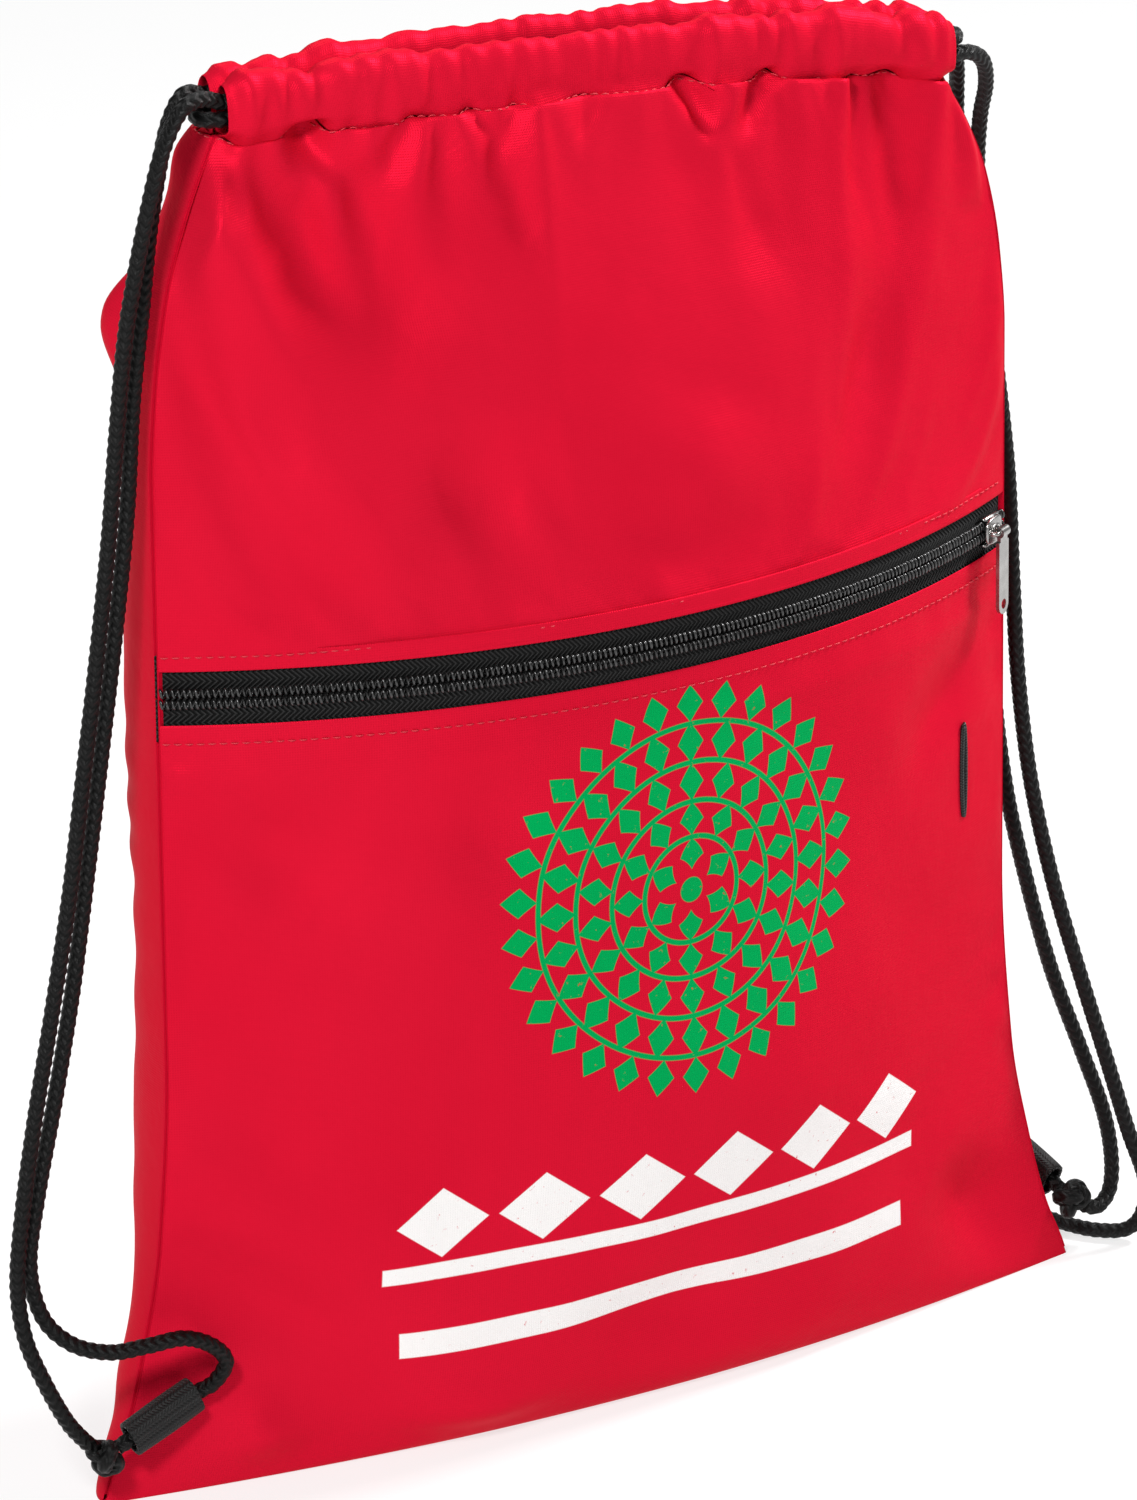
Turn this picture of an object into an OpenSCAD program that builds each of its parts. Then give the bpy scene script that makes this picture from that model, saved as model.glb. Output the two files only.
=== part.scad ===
// Drawstring backpack with a zipped front pocket.
// Millimetres. Z is up, the front faces -Y, and the origin is the middle of the base.

/* [Bag] */
// Half of the width from corner to corner along the bottom seam
corner_half_w = 178; // [170:1:186]
// Half of the width of the stuffed belly, seam to seam
belly_half_w = 152; // [146:1:156]
// Half of the width of the gathered mouth
mouth_half_w = 128; // [122:1:134]
// Height of the rim at its left end
bag_h = 442; // [432:1:452]
// How much lower the right end of the rim is
rim_drop = 22; // [0:1:26]
// Radius of the front panel seen from above, at the zipper
front_r = 286; // [270:1:310]
// How far the back panel bulges behind the side seams
back_bulge = 60; // [50:1:64]
// Thickness given to each layer of fabric
fabric_t = 1; // [0.8:0.1:1.2]

/* [Zipper] */
// Height of the middle of the zipper
zip_z = 255; // [245:1:265]
// Half of the height of tape that shows between the panels
tape_half_show = 8.5; // [7:0.5:10]
// Half of the height of the pair of coils
coil_half_h = 3.3; // [2.8:0.1:3.6]
// Length of the slider along the zipper
slider_l = 10; // [8:1:12]
// Length of the pull tab
pull_l = 27; // [20:1:34]
// Width of the pull tab
pull_w = 6.5; // [6:0.5:8]
// Angle of the closed slider from the middle of the front
slider_angle = 29.6; // [20:0.1:29.8]

/* [Channel and cords] */
// Height of the sewn channel round the mouth
channel_h = 17; // [15:1:20]
// Thickness of the channel from front to back
channel_d = 8; // [7.5:0.5:9]
// Diameter of the braided cords
cord_d = 5; // [4:0.5:5]

/* [Corner tabs and port] */
// Width of the webbing of the corner tabs
tab_w = 25; // [20:1:28]
// Height of the bound slit for an earphone lead
port_h = 33; // [25:1:38]
// Angle of the slit from the middle of the front
port_angle = 26.5; // [20:0.5:27]

/* [Hidden] */

RED = [0.78, 0.06, 0.17];
DARK_RED = [0.58, 0.04, 0.12];
BLACK = [0.06, 0.06, 0.07];
NICKEL = [0.72, 0.73, 0.75];
PINK = [0.93, 0.42, 0.46];

gap = 0.2;
seam_y = 0.8;
seam_angle = asin(belly_half_w / front_r);
front_bulge = front_r * (1 - cos(seam_angle));
arc_y = front_r - front_bulge - seam_y;
tape_low_z = zip_z - tape_half_show;
tape_high_z = zip_z + tape_half_show;
panel_top_z = bag_h - channel_h - gap;
tape_r = front_r - fabric_t - gap;
tape_t = 0.6;
coil_r = tape_r + 0.1;
coil_t = 2.2;
slider_r = coil_r + coil_t + 0.4;
slider_t = 1.4;
bail_r = slider_r + slider_t + 2.5;
steps = 22;

// Height, half width, front bulge and back bulge of each ring of a panel.
// The first three rings are the part that lies on the floor.
FLOOR_RINGS = [
    [0, corner_half_w, 0.2, 0.2],
    [0, corner_half_w, 10, 12],
    [0, corner_half_w, 20, 24]
];
LOW_RINGS = [
    [6, corner_half_w - 2, 0.58 * front_bulge, 0.5 * back_bulge],
    [20, corner_half_w - 8, 0.72 * front_bulge, 0.64 * back_bulge],
    [45, belly_half_w + 11, 0.85 * front_bulge, 0.78 * back_bulge],
    [80, belly_half_w + 4, 0.94 * front_bulge, 0.89 * back_bulge],
    [140, belly_half_w, front_bulge, 0.98 * back_bulge],
    [200, belly_half_w, front_bulge, back_bulge]
];
HIGH_RINGS = [
    [290, belly_half_w, front_bulge, 0.95 * back_bulge],
    [320, belly_half_w, 0.94 * front_bulge, 0.87 * back_bulge],
    [350, belly_half_w - 2, 0.83 * front_bulge, 0.73 * back_bulge],
    [380, belly_half_w - 7, 0.64 * front_bulge, 0.55 * back_bulge],
    [402, mouth_half_w + 10, 0.44 * front_bulge, 0.37 * back_bulge],
    [panel_top_z, mouth_half_w, 0.26 * front_bulge, 0.2 * back_bulge]
];
function band_ring(z) = [z, belly_half_w, front_bulge, back_bulge];

LOWER_FRONT = concat(FLOOR_RINGS, LOW_RINGS, [band_ring(tape_low_z)]);
UPPER_FRONT = concat([band_ring(tape_high_z)], HIGH_RINGS);
WHOLE_BACK = concat(FLOOR_RINGS, LOW_RINGS, HIGH_RINGS);

// How far the rim and the cloth under it sink towards the right
function rim_sink(x) = rim_drop * pow(min(max((x + mouth_half_w) / (2 * mouth_half_w), 0), 1), 3);
function sink_share(z) = pow(min(max((z - tape_high_z) / (panel_top_z - tape_high_z), 0), 1), 2);
function sunk(x, z) = z - sink_share(z) * rim_sink(x);

// A point of the front panel is on an arc, one of the back panel on a rounder, squarer curve
function front_point(u, w, bulge) =
    let (r = (w * w + bulge * bulge) / (2 * bulge), a = asin(w / r) * u)
    [r * sin(a), r - bulge - seam_y - r * cos(a)];
function squared(v) = sign(v) * pow(abs(v), 2 / 3);
function back_point(u, w, bulge) =
    [w * squared(sin(90 * u)), seam_y + bulge * squared(max(cos(90 * u), 0))];

// Inward direction of ring i in the plane of height and bulge, from its neighbours
function turn_in(rings, i, k) =
    let (
        a = rings[max(i - 1, 0)],
        b = rings[min(i + 1, len(rings) - 1)],
        dz = b[0] - a[0],
        db = b[k] - a[k],
        n = max(norm([dz, db]), 0.01)
    ) [db / n, -dz / n];
function inner_ring(rings, i, k, t) =
    let (d = turn_in(rings, i, k), r = rings[i])
    [max(r[0] + t * d[0], i < len(FLOOR_RINGS) ? t : 0), r[1] - 1.5 * t, max(r[k] + t * d[1], 0.1)];
function ring_points(z, w, bulge, is_front) = [
    for (j = [0:steps])
        let (
            u = 2 * j / steps - 1,
            p = is_front ? front_point(u, w, bulge) : back_point(u, w, bulge)
        ) [p[0], p[1], sunk(p[0], z)]
];

// Closed solid between an outer and an inner grid of rows of the same length
function grid_faces(rows, cols, start, flip) = [
    for (i = [0:rows - 2], j = [0:cols - 2])
        let (
            a = start + i * cols + j,
            b = a + 1,
            c = a + cols + 1,
            d = a + cols
        ) each flip ? [[a, b, c], [a, c, d]] : [[c, b, a], [d, c, a]]
];
function edge_faces(edge, shift) = [
    for (i = [0:len(edge) - 2])
        let (a = edge[i], b = edge[i + 1])
        each [[a, b, b + shift], [a, b + shift, a + shift]]
];
function border(rows, cols) = concat(
    [for (j = [0:cols - 1]) j],
    [for (i = [1:rows - 1]) i * cols + cols - 1],
    [for (j = [cols - 2:-1:0]) (rows - 1) * cols + j],
    [for (i = [rows - 2:-1:0]) i * cols]
);
module sheet_solid(outer, inner, flip = false) {
    rows = len(outer);
    cols = len(outer[0]);
    points = concat([for (r = outer) each r], [for (r = inner) each r]);
    sides = edge_faces(border(rows, cols), rows * cols);
    faces = concat(
        grid_faces(rows, cols, 0, true),
        grid_faces(rows, cols, rows * cols, false),
        [for (f = sides) [f[2], f[1], f[0]]]
    );
    polyhedron(points, flip ? [for (f = faces) [f[2], f[1], f[0]]] : faces);
}
module panel_solid(rings, is_front) {
    k = is_front ? 2 : 3;
    outer = [for (r = rings) ring_points(r[0], r[1], r[k], is_front)];
    inner = [
        for (i = [0:len(rings) - 1])
            let (r = inner_ring(rings, i, k, fabric_t))
            ring_points(r[0], r[1], r[2], is_front)
    ];
    sheet_solid(outer, inner, !is_front);
}

// Part of a ring about the axis of the front panel's arc, from angle a0 to a1
module arc_band(r0, r1, z0, z1, a0, a1) {
    translate([0, arc_y, z0])
        rotate([0, 0, a0 - 90])
            rotate_extrude(angle = a1 - a0, $fn = 360)
                translate([r0, 0])
                    square([r1 - r0, z1 - z0]);
}

// Moves children made at the middle of the front to angle a along the zipper
module along_front(a) {
    translate([0, arc_y, 0])
        rotate([0, 0, a])
            translate([0, -arc_y, 0])
                children();
}
function on_front(r) = arc_y - r;

// Closed tube swept along a route, with a ring at every point
function unit(v) = v / max(norm(v), 0.0001);
function tube_rings(route, r, sides) = [
    for (i = [0:len(route) - 1])
        let (
            ahead = route[min(i + 1, len(route) - 1)],
            behind = route[max(i - 1, 0)],
            along = unit(ahead - behind),
            side = unit(cross(along, abs(along[2]) > 0.8 ? [0, 1, 0] : [0, 0, 1])),
            up = cross(side, along)
        )
        each [
            for (j = [0:sides - 1])
                let (a = 360 * j / sides)
                route[i] + r * (cos(a) * side + sin(a) * up)
        ]
];
module tube(route, r, sides = 8) {
    n = len(route);
    walls = [
        for (i = [0:n - 2], j = [0:sides - 1])
            let (a = i * sides + j, b = i * sides + (j + 1) % sides)
            each [[a, b, b + sides], [a, b + sides, a + sides]]
    ];
    caps = [[for (j = [sides - 1:-1:0]) j], [for (j = [0:sides - 1]) (n - 1) * sides + j]];
    polyhedron(tube_rings(route, r, sides), concat(walls, caps));
}

// Middle line of a channel: -1 is the front one, 1 the back one
channel_end_y = 5;
channel_bow = 6;
function channel_y(x, side) = side * (channel_end_y + channel_bow * (1 - pow(x / mouth_half_w, 2)));
function rim_z(x) = bag_h - rim_sink(x);

// Routes of the free cords: out of the channel, down beside the bag, and into the corner tab
cord_low_z = 6.2;
cord_high_z = 11.4;
LEFT_OUTER = [
    [-128, -5, 436.4], [-136, -7, 439], [-144, -9, 437], [-151, -10, 426], [-156, -10, 410],
    [-160, -9, 392], [-164, -8, 370], [-167, -7, 342], [-170, -6, 310], [-175, -6, 275],
    [-181, -6, 237], [-187, -6, 200], [-194, -6, 165], [-201, -6, 132], [-206, -6, 104],
    [-209, -7, 82], [-208, -9, 65], [-203, -11, 50], [-196, -11, 36], [-190, -10.5, 28],
    [-186, -10, 24]
];
LEFT_INNER = [
    [-128, 5, 436.4], [-136, 3, 438], [-143, 0, 431], [-148, -2, 417], [-152, -3, 400],
    [-155, -3, 378], [-159, -3, 350], [-162, -3, 316], [-167, -3, 280], [-173, -3, 242],
    [-179, -3, 205], [-185, -3, 170], [-192, -3, 137], [-199, -3, 107], [-203, -4, 86],
    [-201, -7, 70], [-194, -12, 61], [-183, -16, 57], [-171, -18, 57], [-159, -19, 57],
    [-149, -18.5, 52], [-143.5, -17, 45], [-146, -13.8, 37.6], [-151.5, -11.6, 34.3],
    [-163, -11.4, 29.4], [-174.5, -11.2, 24.5], [-178.5, -10.6, 22.5]
];
RIGHT_OUTER = [
    [128, -5, 409.2], [136, -4, 409], [144, 0, 404], [150, 7, 394], [154, 16, 380],
    [158, 23, 358], [161, 23, 328], [162, 18, 298], [163, 13, 265], [163, 10, 230],
    [164, 8, 196], [167, 5, 162], [173, 1, 128], [181, -3, 96], [190, -5, 66],
    [198, -6, 40], [204, -7, 22], [204, -6, 10], [200, -3, 4], [193, 3, 3],
    [188, 12, 3], [185, 24, 3], [183, 35, 6], [180.5, 45, 13], [176.5, 50, 23],
    [172.5, 48, 33], [171.5, 41, 36.4], [173.2, 30.2, 31.9], [175.5, 19, 27],
    [177.8, 7.8, 22.1], [178.7, 3.6, 20.2]
];
RIGHT_INNER = [
    [128, 5, 409.2], [136, 8, 408], [143, 13, 401], [148, 20, 389], [152, 26, 372],
    [155, 29, 350], [157, 29, 320], [158, 24, 290], [159, 19, 258], [159, 16, 224],
    [159, 14, 190], [162, 11, 157], [168, 8, 126], [176, 6, 96], [186, 4, 68],
    [194, 3, 46], [197, 2, 30], [196, 1, 18], [190.5, 0, 13], [184.5, -0.5, 15]
];

// A cord inside both channels: along the front, round the far end, and back
run_steps = 14;
turn_steps = 5;
function cord_run(side, lift) =
    let (far = -side * mouth_half_w)
    concat(
        [
            for (i = [0:run_steps])
                let (x = side * (mouth_half_w - 0.3) * (1 - 2 * i / run_steps))
                [x, channel_y(x, -1), rim_z(x) - channel_h + lift]
        ],
        [
            for (i = [1:turn_steps])
                let (a = 180 * i / (turn_steps + 1))
                [
                    far - side * channel_end_y * sin(a),
                    -channel_end_y * cos(a),
                    rim_z(far) - channel_h + lift
                ]
        ],
        [
            for (i = [run_steps:-1:0])
                let (x = side * (mouth_half_w - 0.3) * (1 - 2 * i / run_steps))
                [x, channel_y(x, 1), rim_z(x) - channel_h + lift]
        ]
    );

// Cross-section of a channel, as offsets from its middle line and its lower edge
CHANNEL_SHAPE = [
    [0, 0], [0.4, 0.12], [0.5, 0.4], [0.46, 0.78], [0.24, 1],
    [-0.24, 1], [-0.46, 0.78], [-0.5, 0.4], [-0.4, 0.12]
];
channel_steps = 20;
function channel_ring(x, side, y_scale, z_scale) = [
    for (p = CHANNEL_SHAPE)
        [
            x,
            channel_y(x, side) + p[0] * channel_d * y_scale,
            rim_z(x) - channel_h * (0.5 - (p[1] - 0.5) * z_scale)
        ]
];

module front_panel_upper() {
    color(RED) panel_solid(UPPER_FRONT, true);
}

// The slit for an earphone lead, cut through the front
slit_w = 2;
slit_h = port_h - 6;
slit_depth = 6;
port_z = 180;
module slit(w) {
    along_front(port_angle)
        translate([-w / 2, on_front(front_r + slit_depth / 2), port_z - slit_h / 2])
            cube([w, slit_depth, slit_h]);
}

module front_panel_lower() {
    color(RED)
        difference() {
            panel_solid(LOWER_FRONT, true);
            slit(slit_w);
        }
}

// The layer behind the pocket follows the front and stands back from it in the middle
pocket_gap = 8;
lining_inset = 4;
lining_top_z = zip_z + 14;
LINING_RINGS = concat(LOW_RINGS, [band_ring(tape_low_z), band_ring(lining_top_z)]);
function lining_points(ring, back) = [
    for (j = [0:steps])
        let (
            u = 2 * j / steps - 1,
            w = ring[1] - lining_inset - 1.5 * back,
            p = front_point(u, w, ring[2] - pocket_gap - back)
        ) [p[0], p[1], ring[0]]
];
module pocket_lining() {
    color(DARK_RED)
        sheet_solid(
            [for (r = LINING_RINGS) lining_points(r, 0)],
            [for (r = LINING_RINGS) lining_points(r, fabric_t)]
        );
}

module back_panel() {
    color(RED) panel_solid(WHOLE_BACK, false);
}

// Flattened sewn tube along the rim, open at both ends
module channel(side) {
    n = len(CHANNEL_SHAPE);
    xs = [for (i = [0:channel_steps]) mouth_half_w * (2 * i / channel_steps - 1)];
    outside = [for (x = xs) each channel_ring(x, side, 1, 1)];
    inside = [for (x = xs) each channel_ring(x, side, 0.8, 0.9)];
    shift = n * len(xs);
    last = n * channel_steps;
    walls = [
        for (i = [0:channel_steps - 1], j = [0:n - 1])
            let (a = i * n + j, b = i * n + (j + 1) % n)
            each [
                [a, b, b + n], [a, b + n, a + n],
                [b + n + shift, b + shift, a + shift], [a + n + shift, b + n + shift, a + shift]
            ]
    ];
    ends = [
        for (j = [0:n - 1])
            let (b = (j + 1) % n)
            each [
                [j + shift, b + shift, b], [j + shift, b, j],
                [last + b, last + b + shift, last + j + shift], [last + j, last + b, last + j + shift]
            ]
    ];
    faces = concat(walls, ends);
    polyhedron(concat(outside, inside), [for (f = faces) [f[2], f[1], f[0]]]);
}

module channel_front() {
    color(RED) channel(-1);
}

module channel_back() {
    color(RED) channel(1);
}

// Overlocked edges of the panels inside the side seam
allowance = 9;
seam_half_t = 0.6;
SEAM_RINGS = concat([[1.4, corner_half_w - 1]], LOW_RINGS, HIGH_RINGS);
module side_seam(side) {
    outer_edge = [for (r = SEAM_RINGS) [side * (r[1] - 1), sunk(side * r[1], r[0])]];
    inner_edge = [for (r = SEAM_RINGS) [side * (r[1] - allowance), sunk(side * r[1], r[0])]];
    front = [
        [for (p = outer_edge) [p[0], -seam_half_t, p[1]]],
        [for (p = inner_edge) [p[0], -seam_half_t, p[1]]]
    ];
    back = [
        [for (p = outer_edge) [p[0], seam_half_t, p[1]]],
        [for (p = inner_edge) [p[0], seam_half_t, p[1]]]
    ];
    sheet_solid(front, back, side > 0);
}

module side_seam_left() {
    color(DARK_RED) side_seam(-1);
}

module side_seam_right() {
    color(DARK_RED) side_seam(1);
}

module bottom_seam() {
    half_l = corner_half_w - allowance - 6;
    color(DARK_RED)
        translate([-half_l, -seam_half_t, 0])
            cube([2 * half_l, 2 * seam_half_t, allowance]);
}

tape_hidden = 5;
tape_split = 0.3;
tape_end_angle = seam_angle - 0.9;

module zipper_tape_upper() {
    color(BLACK)
        arc_band(
            tape_r - tape_t, tape_r, zip_z + tape_split, tape_high_z + tape_hidden,
            -tape_end_angle, tape_end_angle
        );
}

module zipper_tape_lower() {
    color(BLACK)
        arc_band(
            tape_r - tape_t, tape_r, tape_low_z - tape_hidden, zip_z - tape_split,
            -tape_end_angle, tape_end_angle
        );
}

module zipper_coil_upper() {
    color(BLACK)
        arc_band(
            coil_r, coil_r + coil_t, zip_z + tape_split, zip_z + coil_half_h,
            -tape_end_angle, tape_end_angle
        );
}

module zipper_coil_lower() {
    color(BLACK)
        arc_band(
            coil_r, coil_r + coil_t, zip_z - coil_half_h, zip_z - tape_split,
            -tape_end_angle, tape_end_angle
        );
}

// The slider: a face plate with a lip over each coil, and a bail that carries the pull
slider_half_h = coil_half_h + 1.4;
lip_t = 0.9;
bail_pin_r = 0.7;
bail_half_l = 3.9;
post_w = 1.2;

module slider_plate() {
    translate([-slider_l / 2, on_front(slider_r + slider_t), zip_z - slider_half_h])
        cube([slider_l, slider_t, 2 * slider_half_h]);
}

module slider_lip(side) {
    z = side > 0 ? slider_half_h - lip_t : -slider_half_h;
    translate([-slider_l / 2, on_front(slider_r), zip_z + z])
        cube([slider_l, coil_t, lip_t]);
}

module bail_post(side) {
    post_l = bail_r + bail_pin_r - slider_r - slider_t;
    x = side > 0 ? bail_half_l - post_w : -bail_half_l;
    translate([x, on_front(bail_r + bail_pin_r), zip_z - bail_pin_r])
        cube([post_w, post_l, 2 * bail_pin_r]);
}

module zipper_slider() {
    color(NICKEL)
        along_front(slider_angle)
            union() {
                slider_plate();
                slider_lip(1);
                slider_lip(-1);
                bail_post(1);
                bail_post(-1);
                translate([-bail_half_l, on_front(bail_r), zip_z])
                    rotate([0, 90, 0])
                        cylinder(r = bail_pin_r, h = 2 * bail_half_l, $fn = 48);
            }
}

// The pull: an eye on the bail's pin and a flat tab that hangs from it
eye_r = 1.7;
eye_bore_r = 0.78;
eye_half_l = 2.4;
neck_l = 2;
shoulder_drop = 3;
pull_t = 1.2;
// Decorative hole near the free end of the tab
pull_hole_r = 1.6;

module zipper_pull() {
    color(NICKEL)
        along_front(slider_angle)
            translate([0, on_front(bail_r), zip_z])
                difference() {
                    union() {
                        translate([-eye_half_l, 0, 0])
                            rotate([0, 90, 0])
                                cylinder(r = eye_r, h = 2 * eye_half_l, $fn = 48);
                        translate([-eye_half_l, -pull_t / 2, -pull_w / 2 - neck_l])
                            cube([2 * eye_half_l, pull_t, pull_w / 2 + neck_l]);
                        translate([-pull_w / 2, -pull_t / 2, pull_w / 2 - pull_l])
                            cube([pull_w, pull_t, pull_l - pull_w / 2 - shoulder_drop]);
                        translate([0, pull_t / 2, pull_w / 2 - pull_l])
                            rotate([90, 0, 0])
                                cylinder(d = pull_w, h = pull_t, $fn = 48);
                    }
                    translate([-eye_half_l - 1, 0, 0])
                        rotate([0, 90, 0])
                            cylinder(r = eye_bore_r, h = 2 * eye_half_l + 2, $fn = 48);
                    translate([0, pull_t, pull_w / 2 - pull_l])
                        rotate([90, 0, 0])
                            cylinder(r = pull_hole_r, h = 2 * pull_t, $fn = 48);
                }
}

// Lines of thread that stand on the fabric beside the zipper
thread_t = 0.5;
thread_inset = 4;
thread_r = front_r + 0.15;

module pocket_topstitch_upper() {
    z = tape_high_z + thread_inset;
    color(PINK)
        arc_band(thread_r, thread_r + thread_t, z, z + thread_t, -tape_end_angle, tape_end_angle);
}

module pocket_topstitch_lower() {
    z = tape_low_z - thread_inset - thread_t;
    color(PINK)
        arc_band(thread_r, thread_r + thread_t, z, z + thread_t, -tape_end_angle, tape_end_angle);
}

// The line of thread that closes a channel stands just outside its lower edge
module channel_topstitch(side) {
    stitch_x = [for (i = [0:channel_steps]) (mouth_half_w - 2) * (2 * i / channel_steps - 1)];
    stitch_out = 4.4;
    stitch_up = 2;
    tube(
        [for (x = stitch_x) [x, channel_y(x, side) + side * stitch_out, rim_z(x) - channel_h + stitch_up]],
        thread_t / 2, 5
    );
}

module channel_topstitch_front() {
    color(PINK) channel_topstitch(-1);
}

module channel_topstitch_back() {
    color(PINK) channel_topstitch(1);
}

// Bound slit through which a lead leaves the pocket
port_w = 4.4;
port_t = 0.9;
module earphone_port() {
    half_angle = asin(port_w / 2 / front_r);
    color(BLACK)
        difference() {
            arc_band(
                front_r + gap, front_r + gap + port_t, port_z - port_h / 2, port_z + port_h / 2,
                port_angle - half_angle, port_angle + half_angle
            );
            slit(slit_w / 2);
        }
}

// Webbing folded into a tunnel at each bottom corner: the left one lies on the front,
// and the right one lies on the side behind the seam
tab_mid_left = [-163, -11.4, 29.4];
tab_mid_right = [175.5, 19, 27];
tab_slope = 23;
tab_turn_right = 101.5;
tab_h = 12;
tab_d = 8;
web_t = 1.3;

module at_left_tab() {
    translate(tab_mid_left)
        rotate([0, -tab_slope, 0])
            children();
}

module at_right_tab() {
    translate(tab_mid_right)
        rotate([0, 0, tab_turn_right])
            rotate([0, -tab_slope, 0])
                children();
}

module tab_loop(depth, height, length) {
    rotate([0, 90, 0])
        linear_extrude(height = length, center = true)
            hull()
                for (s = [-1, 1])
                    translate([s * (height - depth) / 2, 0])
                        circle(d = depth, $fn = 32);
}

module corner_tab() {
    difference() {
        tab_loop(tab_d, tab_h, tab_w);
        tab_loop(tab_d - 2 * web_t, tab_h - 2 * web_t, tab_w + 2);
    }
}

module corner_tab_left() {
    color(BLACK) at_left_tab() corner_tab();
}

module corner_tab_right() {
    color(BLACK) at_right_tab() corner_tab();
}

// Dense stitches beside the left tab, which hold it and the seam to the panel
bartack_size = [6, 0.8, 1.6];
bartack_first = [-147, -10.4, 50];
bartack_step = [4, -1.6, -5];
bartack_slope = 50;
module tab_bartacks() {
    color(PINK)
        for (i = [0, 1])
            translate(bartack_first + i * bartack_step)
                rotate([0, bartack_slope, 0])
                    cube(bartack_size, center = true);
}

module drawcord_left_outer() {
    color(BLACK) tube(LEFT_OUTER, cord_d / 2);
}

module drawcord_left_inner() {
    color(BLACK) tube(LEFT_INNER, cord_d / 2);
}

module drawcord_right_outer() {
    color(BLACK) tube(RIGHT_OUTER, cord_d / 2);
}

module drawcord_right_inner() {
    color(BLACK) tube(RIGHT_INNER, cord_d / 2);
}

module cord_run_left() {
    color(BLACK) tube(cord_run(-1, cord_high_z), cord_d / 2);
}

module cord_run_right() {
    color(BLACK) tube(cord_run(1, cord_low_z), cord_d / 2);
}

// Knot that stops a cord at the lower end of its tab
knot_r = 6;
knot_gap = 3.4;
module knot() {
    translate([-tab_w / 2 - knot_gap - knot_r, 0, 0])
        sphere(r = knot_r, $fn = 48);
}

module knot_left() {
    color(BLACK) at_left_tab() knot();
}

module knot_right() {
    color(BLACK) at_right_tab() knot();
}

front_panel_upper();
front_panel_lower();
pocket_lining();
back_panel();
channel_front();
channel_back();
side_seam_left();
side_seam_right();
bottom_seam();
zipper_tape_upper();
zipper_tape_lower();
zipper_coil_upper();
zipper_coil_lower();
zipper_slider();
zipper_pull();
pocket_topstitch_upper();
pocket_topstitch_lower();
channel_topstitch_front();
channel_topstitch_back();
earphone_port();
corner_tab_left();
corner_tab_right();
tab_bartacks();
drawcord_left_outer();
drawcord_left_inner();
drawcord_right_outer();
drawcord_right_inner();
cord_run_left();
cord_run_right();
knot_left();
knot_right();
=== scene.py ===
import math

import bmesh
import bpy
import numpy as np
from mathutils import Matrix, Vector, noise


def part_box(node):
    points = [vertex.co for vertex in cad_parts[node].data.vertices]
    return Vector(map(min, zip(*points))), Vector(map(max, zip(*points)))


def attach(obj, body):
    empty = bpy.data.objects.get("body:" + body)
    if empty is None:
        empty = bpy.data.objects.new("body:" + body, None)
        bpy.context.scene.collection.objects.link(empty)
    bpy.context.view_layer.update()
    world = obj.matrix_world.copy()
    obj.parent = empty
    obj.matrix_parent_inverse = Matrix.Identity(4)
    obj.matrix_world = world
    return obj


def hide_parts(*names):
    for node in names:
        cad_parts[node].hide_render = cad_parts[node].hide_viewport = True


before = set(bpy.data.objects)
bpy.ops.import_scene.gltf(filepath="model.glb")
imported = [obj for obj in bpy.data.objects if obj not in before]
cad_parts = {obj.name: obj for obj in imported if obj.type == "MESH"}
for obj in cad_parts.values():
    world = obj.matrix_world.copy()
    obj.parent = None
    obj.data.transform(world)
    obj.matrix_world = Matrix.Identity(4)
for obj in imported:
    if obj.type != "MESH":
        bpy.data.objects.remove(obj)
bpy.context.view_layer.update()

MM = 0.001

# ---------------------------------------------------------------------------
# Sizes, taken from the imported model
# ---------------------------------------------------------------------------


def box_mm(node):
    """Lowest and highest corner of a CAD node, in millimetres."""
    low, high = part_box(node)
    return Vector(low) / MM, Vector(high) / MM


BACK_HIGH = box_mm("back_panel")[1]
UPPER_LOW, UPPER_HIGH = box_mm("front_panel_upper")
LOWER_HIGH = box_mm("front_panel_lower")[1]
CHANNEL_LOW, CHANNEL_HIGH = box_mm("channel_front")

# Half the gap between the front and the back panel at a seam
SEAM_Y = 0.8
# Half widths at the bottom seam, the belly and the mouth
CORNER_W = BACK_HIGH.x
BELLY_W = UPPER_HIGH.x
MOUTH_W = CHANNEL_HIGH.x
BAG_H = CHANNEL_HIGH.z
CHANNEL_H = 17.0
CHANNEL_D = 8.0
# How far the rim sinks from its left end to its right end
RIM_DROP = CHANNEL_HIGH.z - CHANNEL_LOW.z - CHANNEL_H
FRONT_BULGE = -UPPER_LOW.y - SEAM_Y
BACK_BULGE = BACK_HIGH.y - SEAM_Y
TAPE_LOW_Z = LOWER_HIGH.z
TAPE_HIGH_Z = UPPER_LOW.z
ZIP_Z = (TAPE_LOW_Z + TAPE_HIGH_Z) / 2
PANEL_TOP_Z = BAG_H - CHANNEL_H
# Radius of the front's arc at the zipper, the place of its axis, and its half angle
FRONT_R = (BELLY_W**2 + FRONT_BULGE**2) / (2 * FRONT_BULGE)
ARC_Y = FRONT_R - FRONT_BULGE - SEAM_Y
SEAM_ANGLE = math.asin(BELLY_W / FRONT_R)
CORD_D = 5.0
# Heights of the right and the left cord above the stitch line, inside a channel
CORD_LIFTS = (6.2, 11.4)

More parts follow.
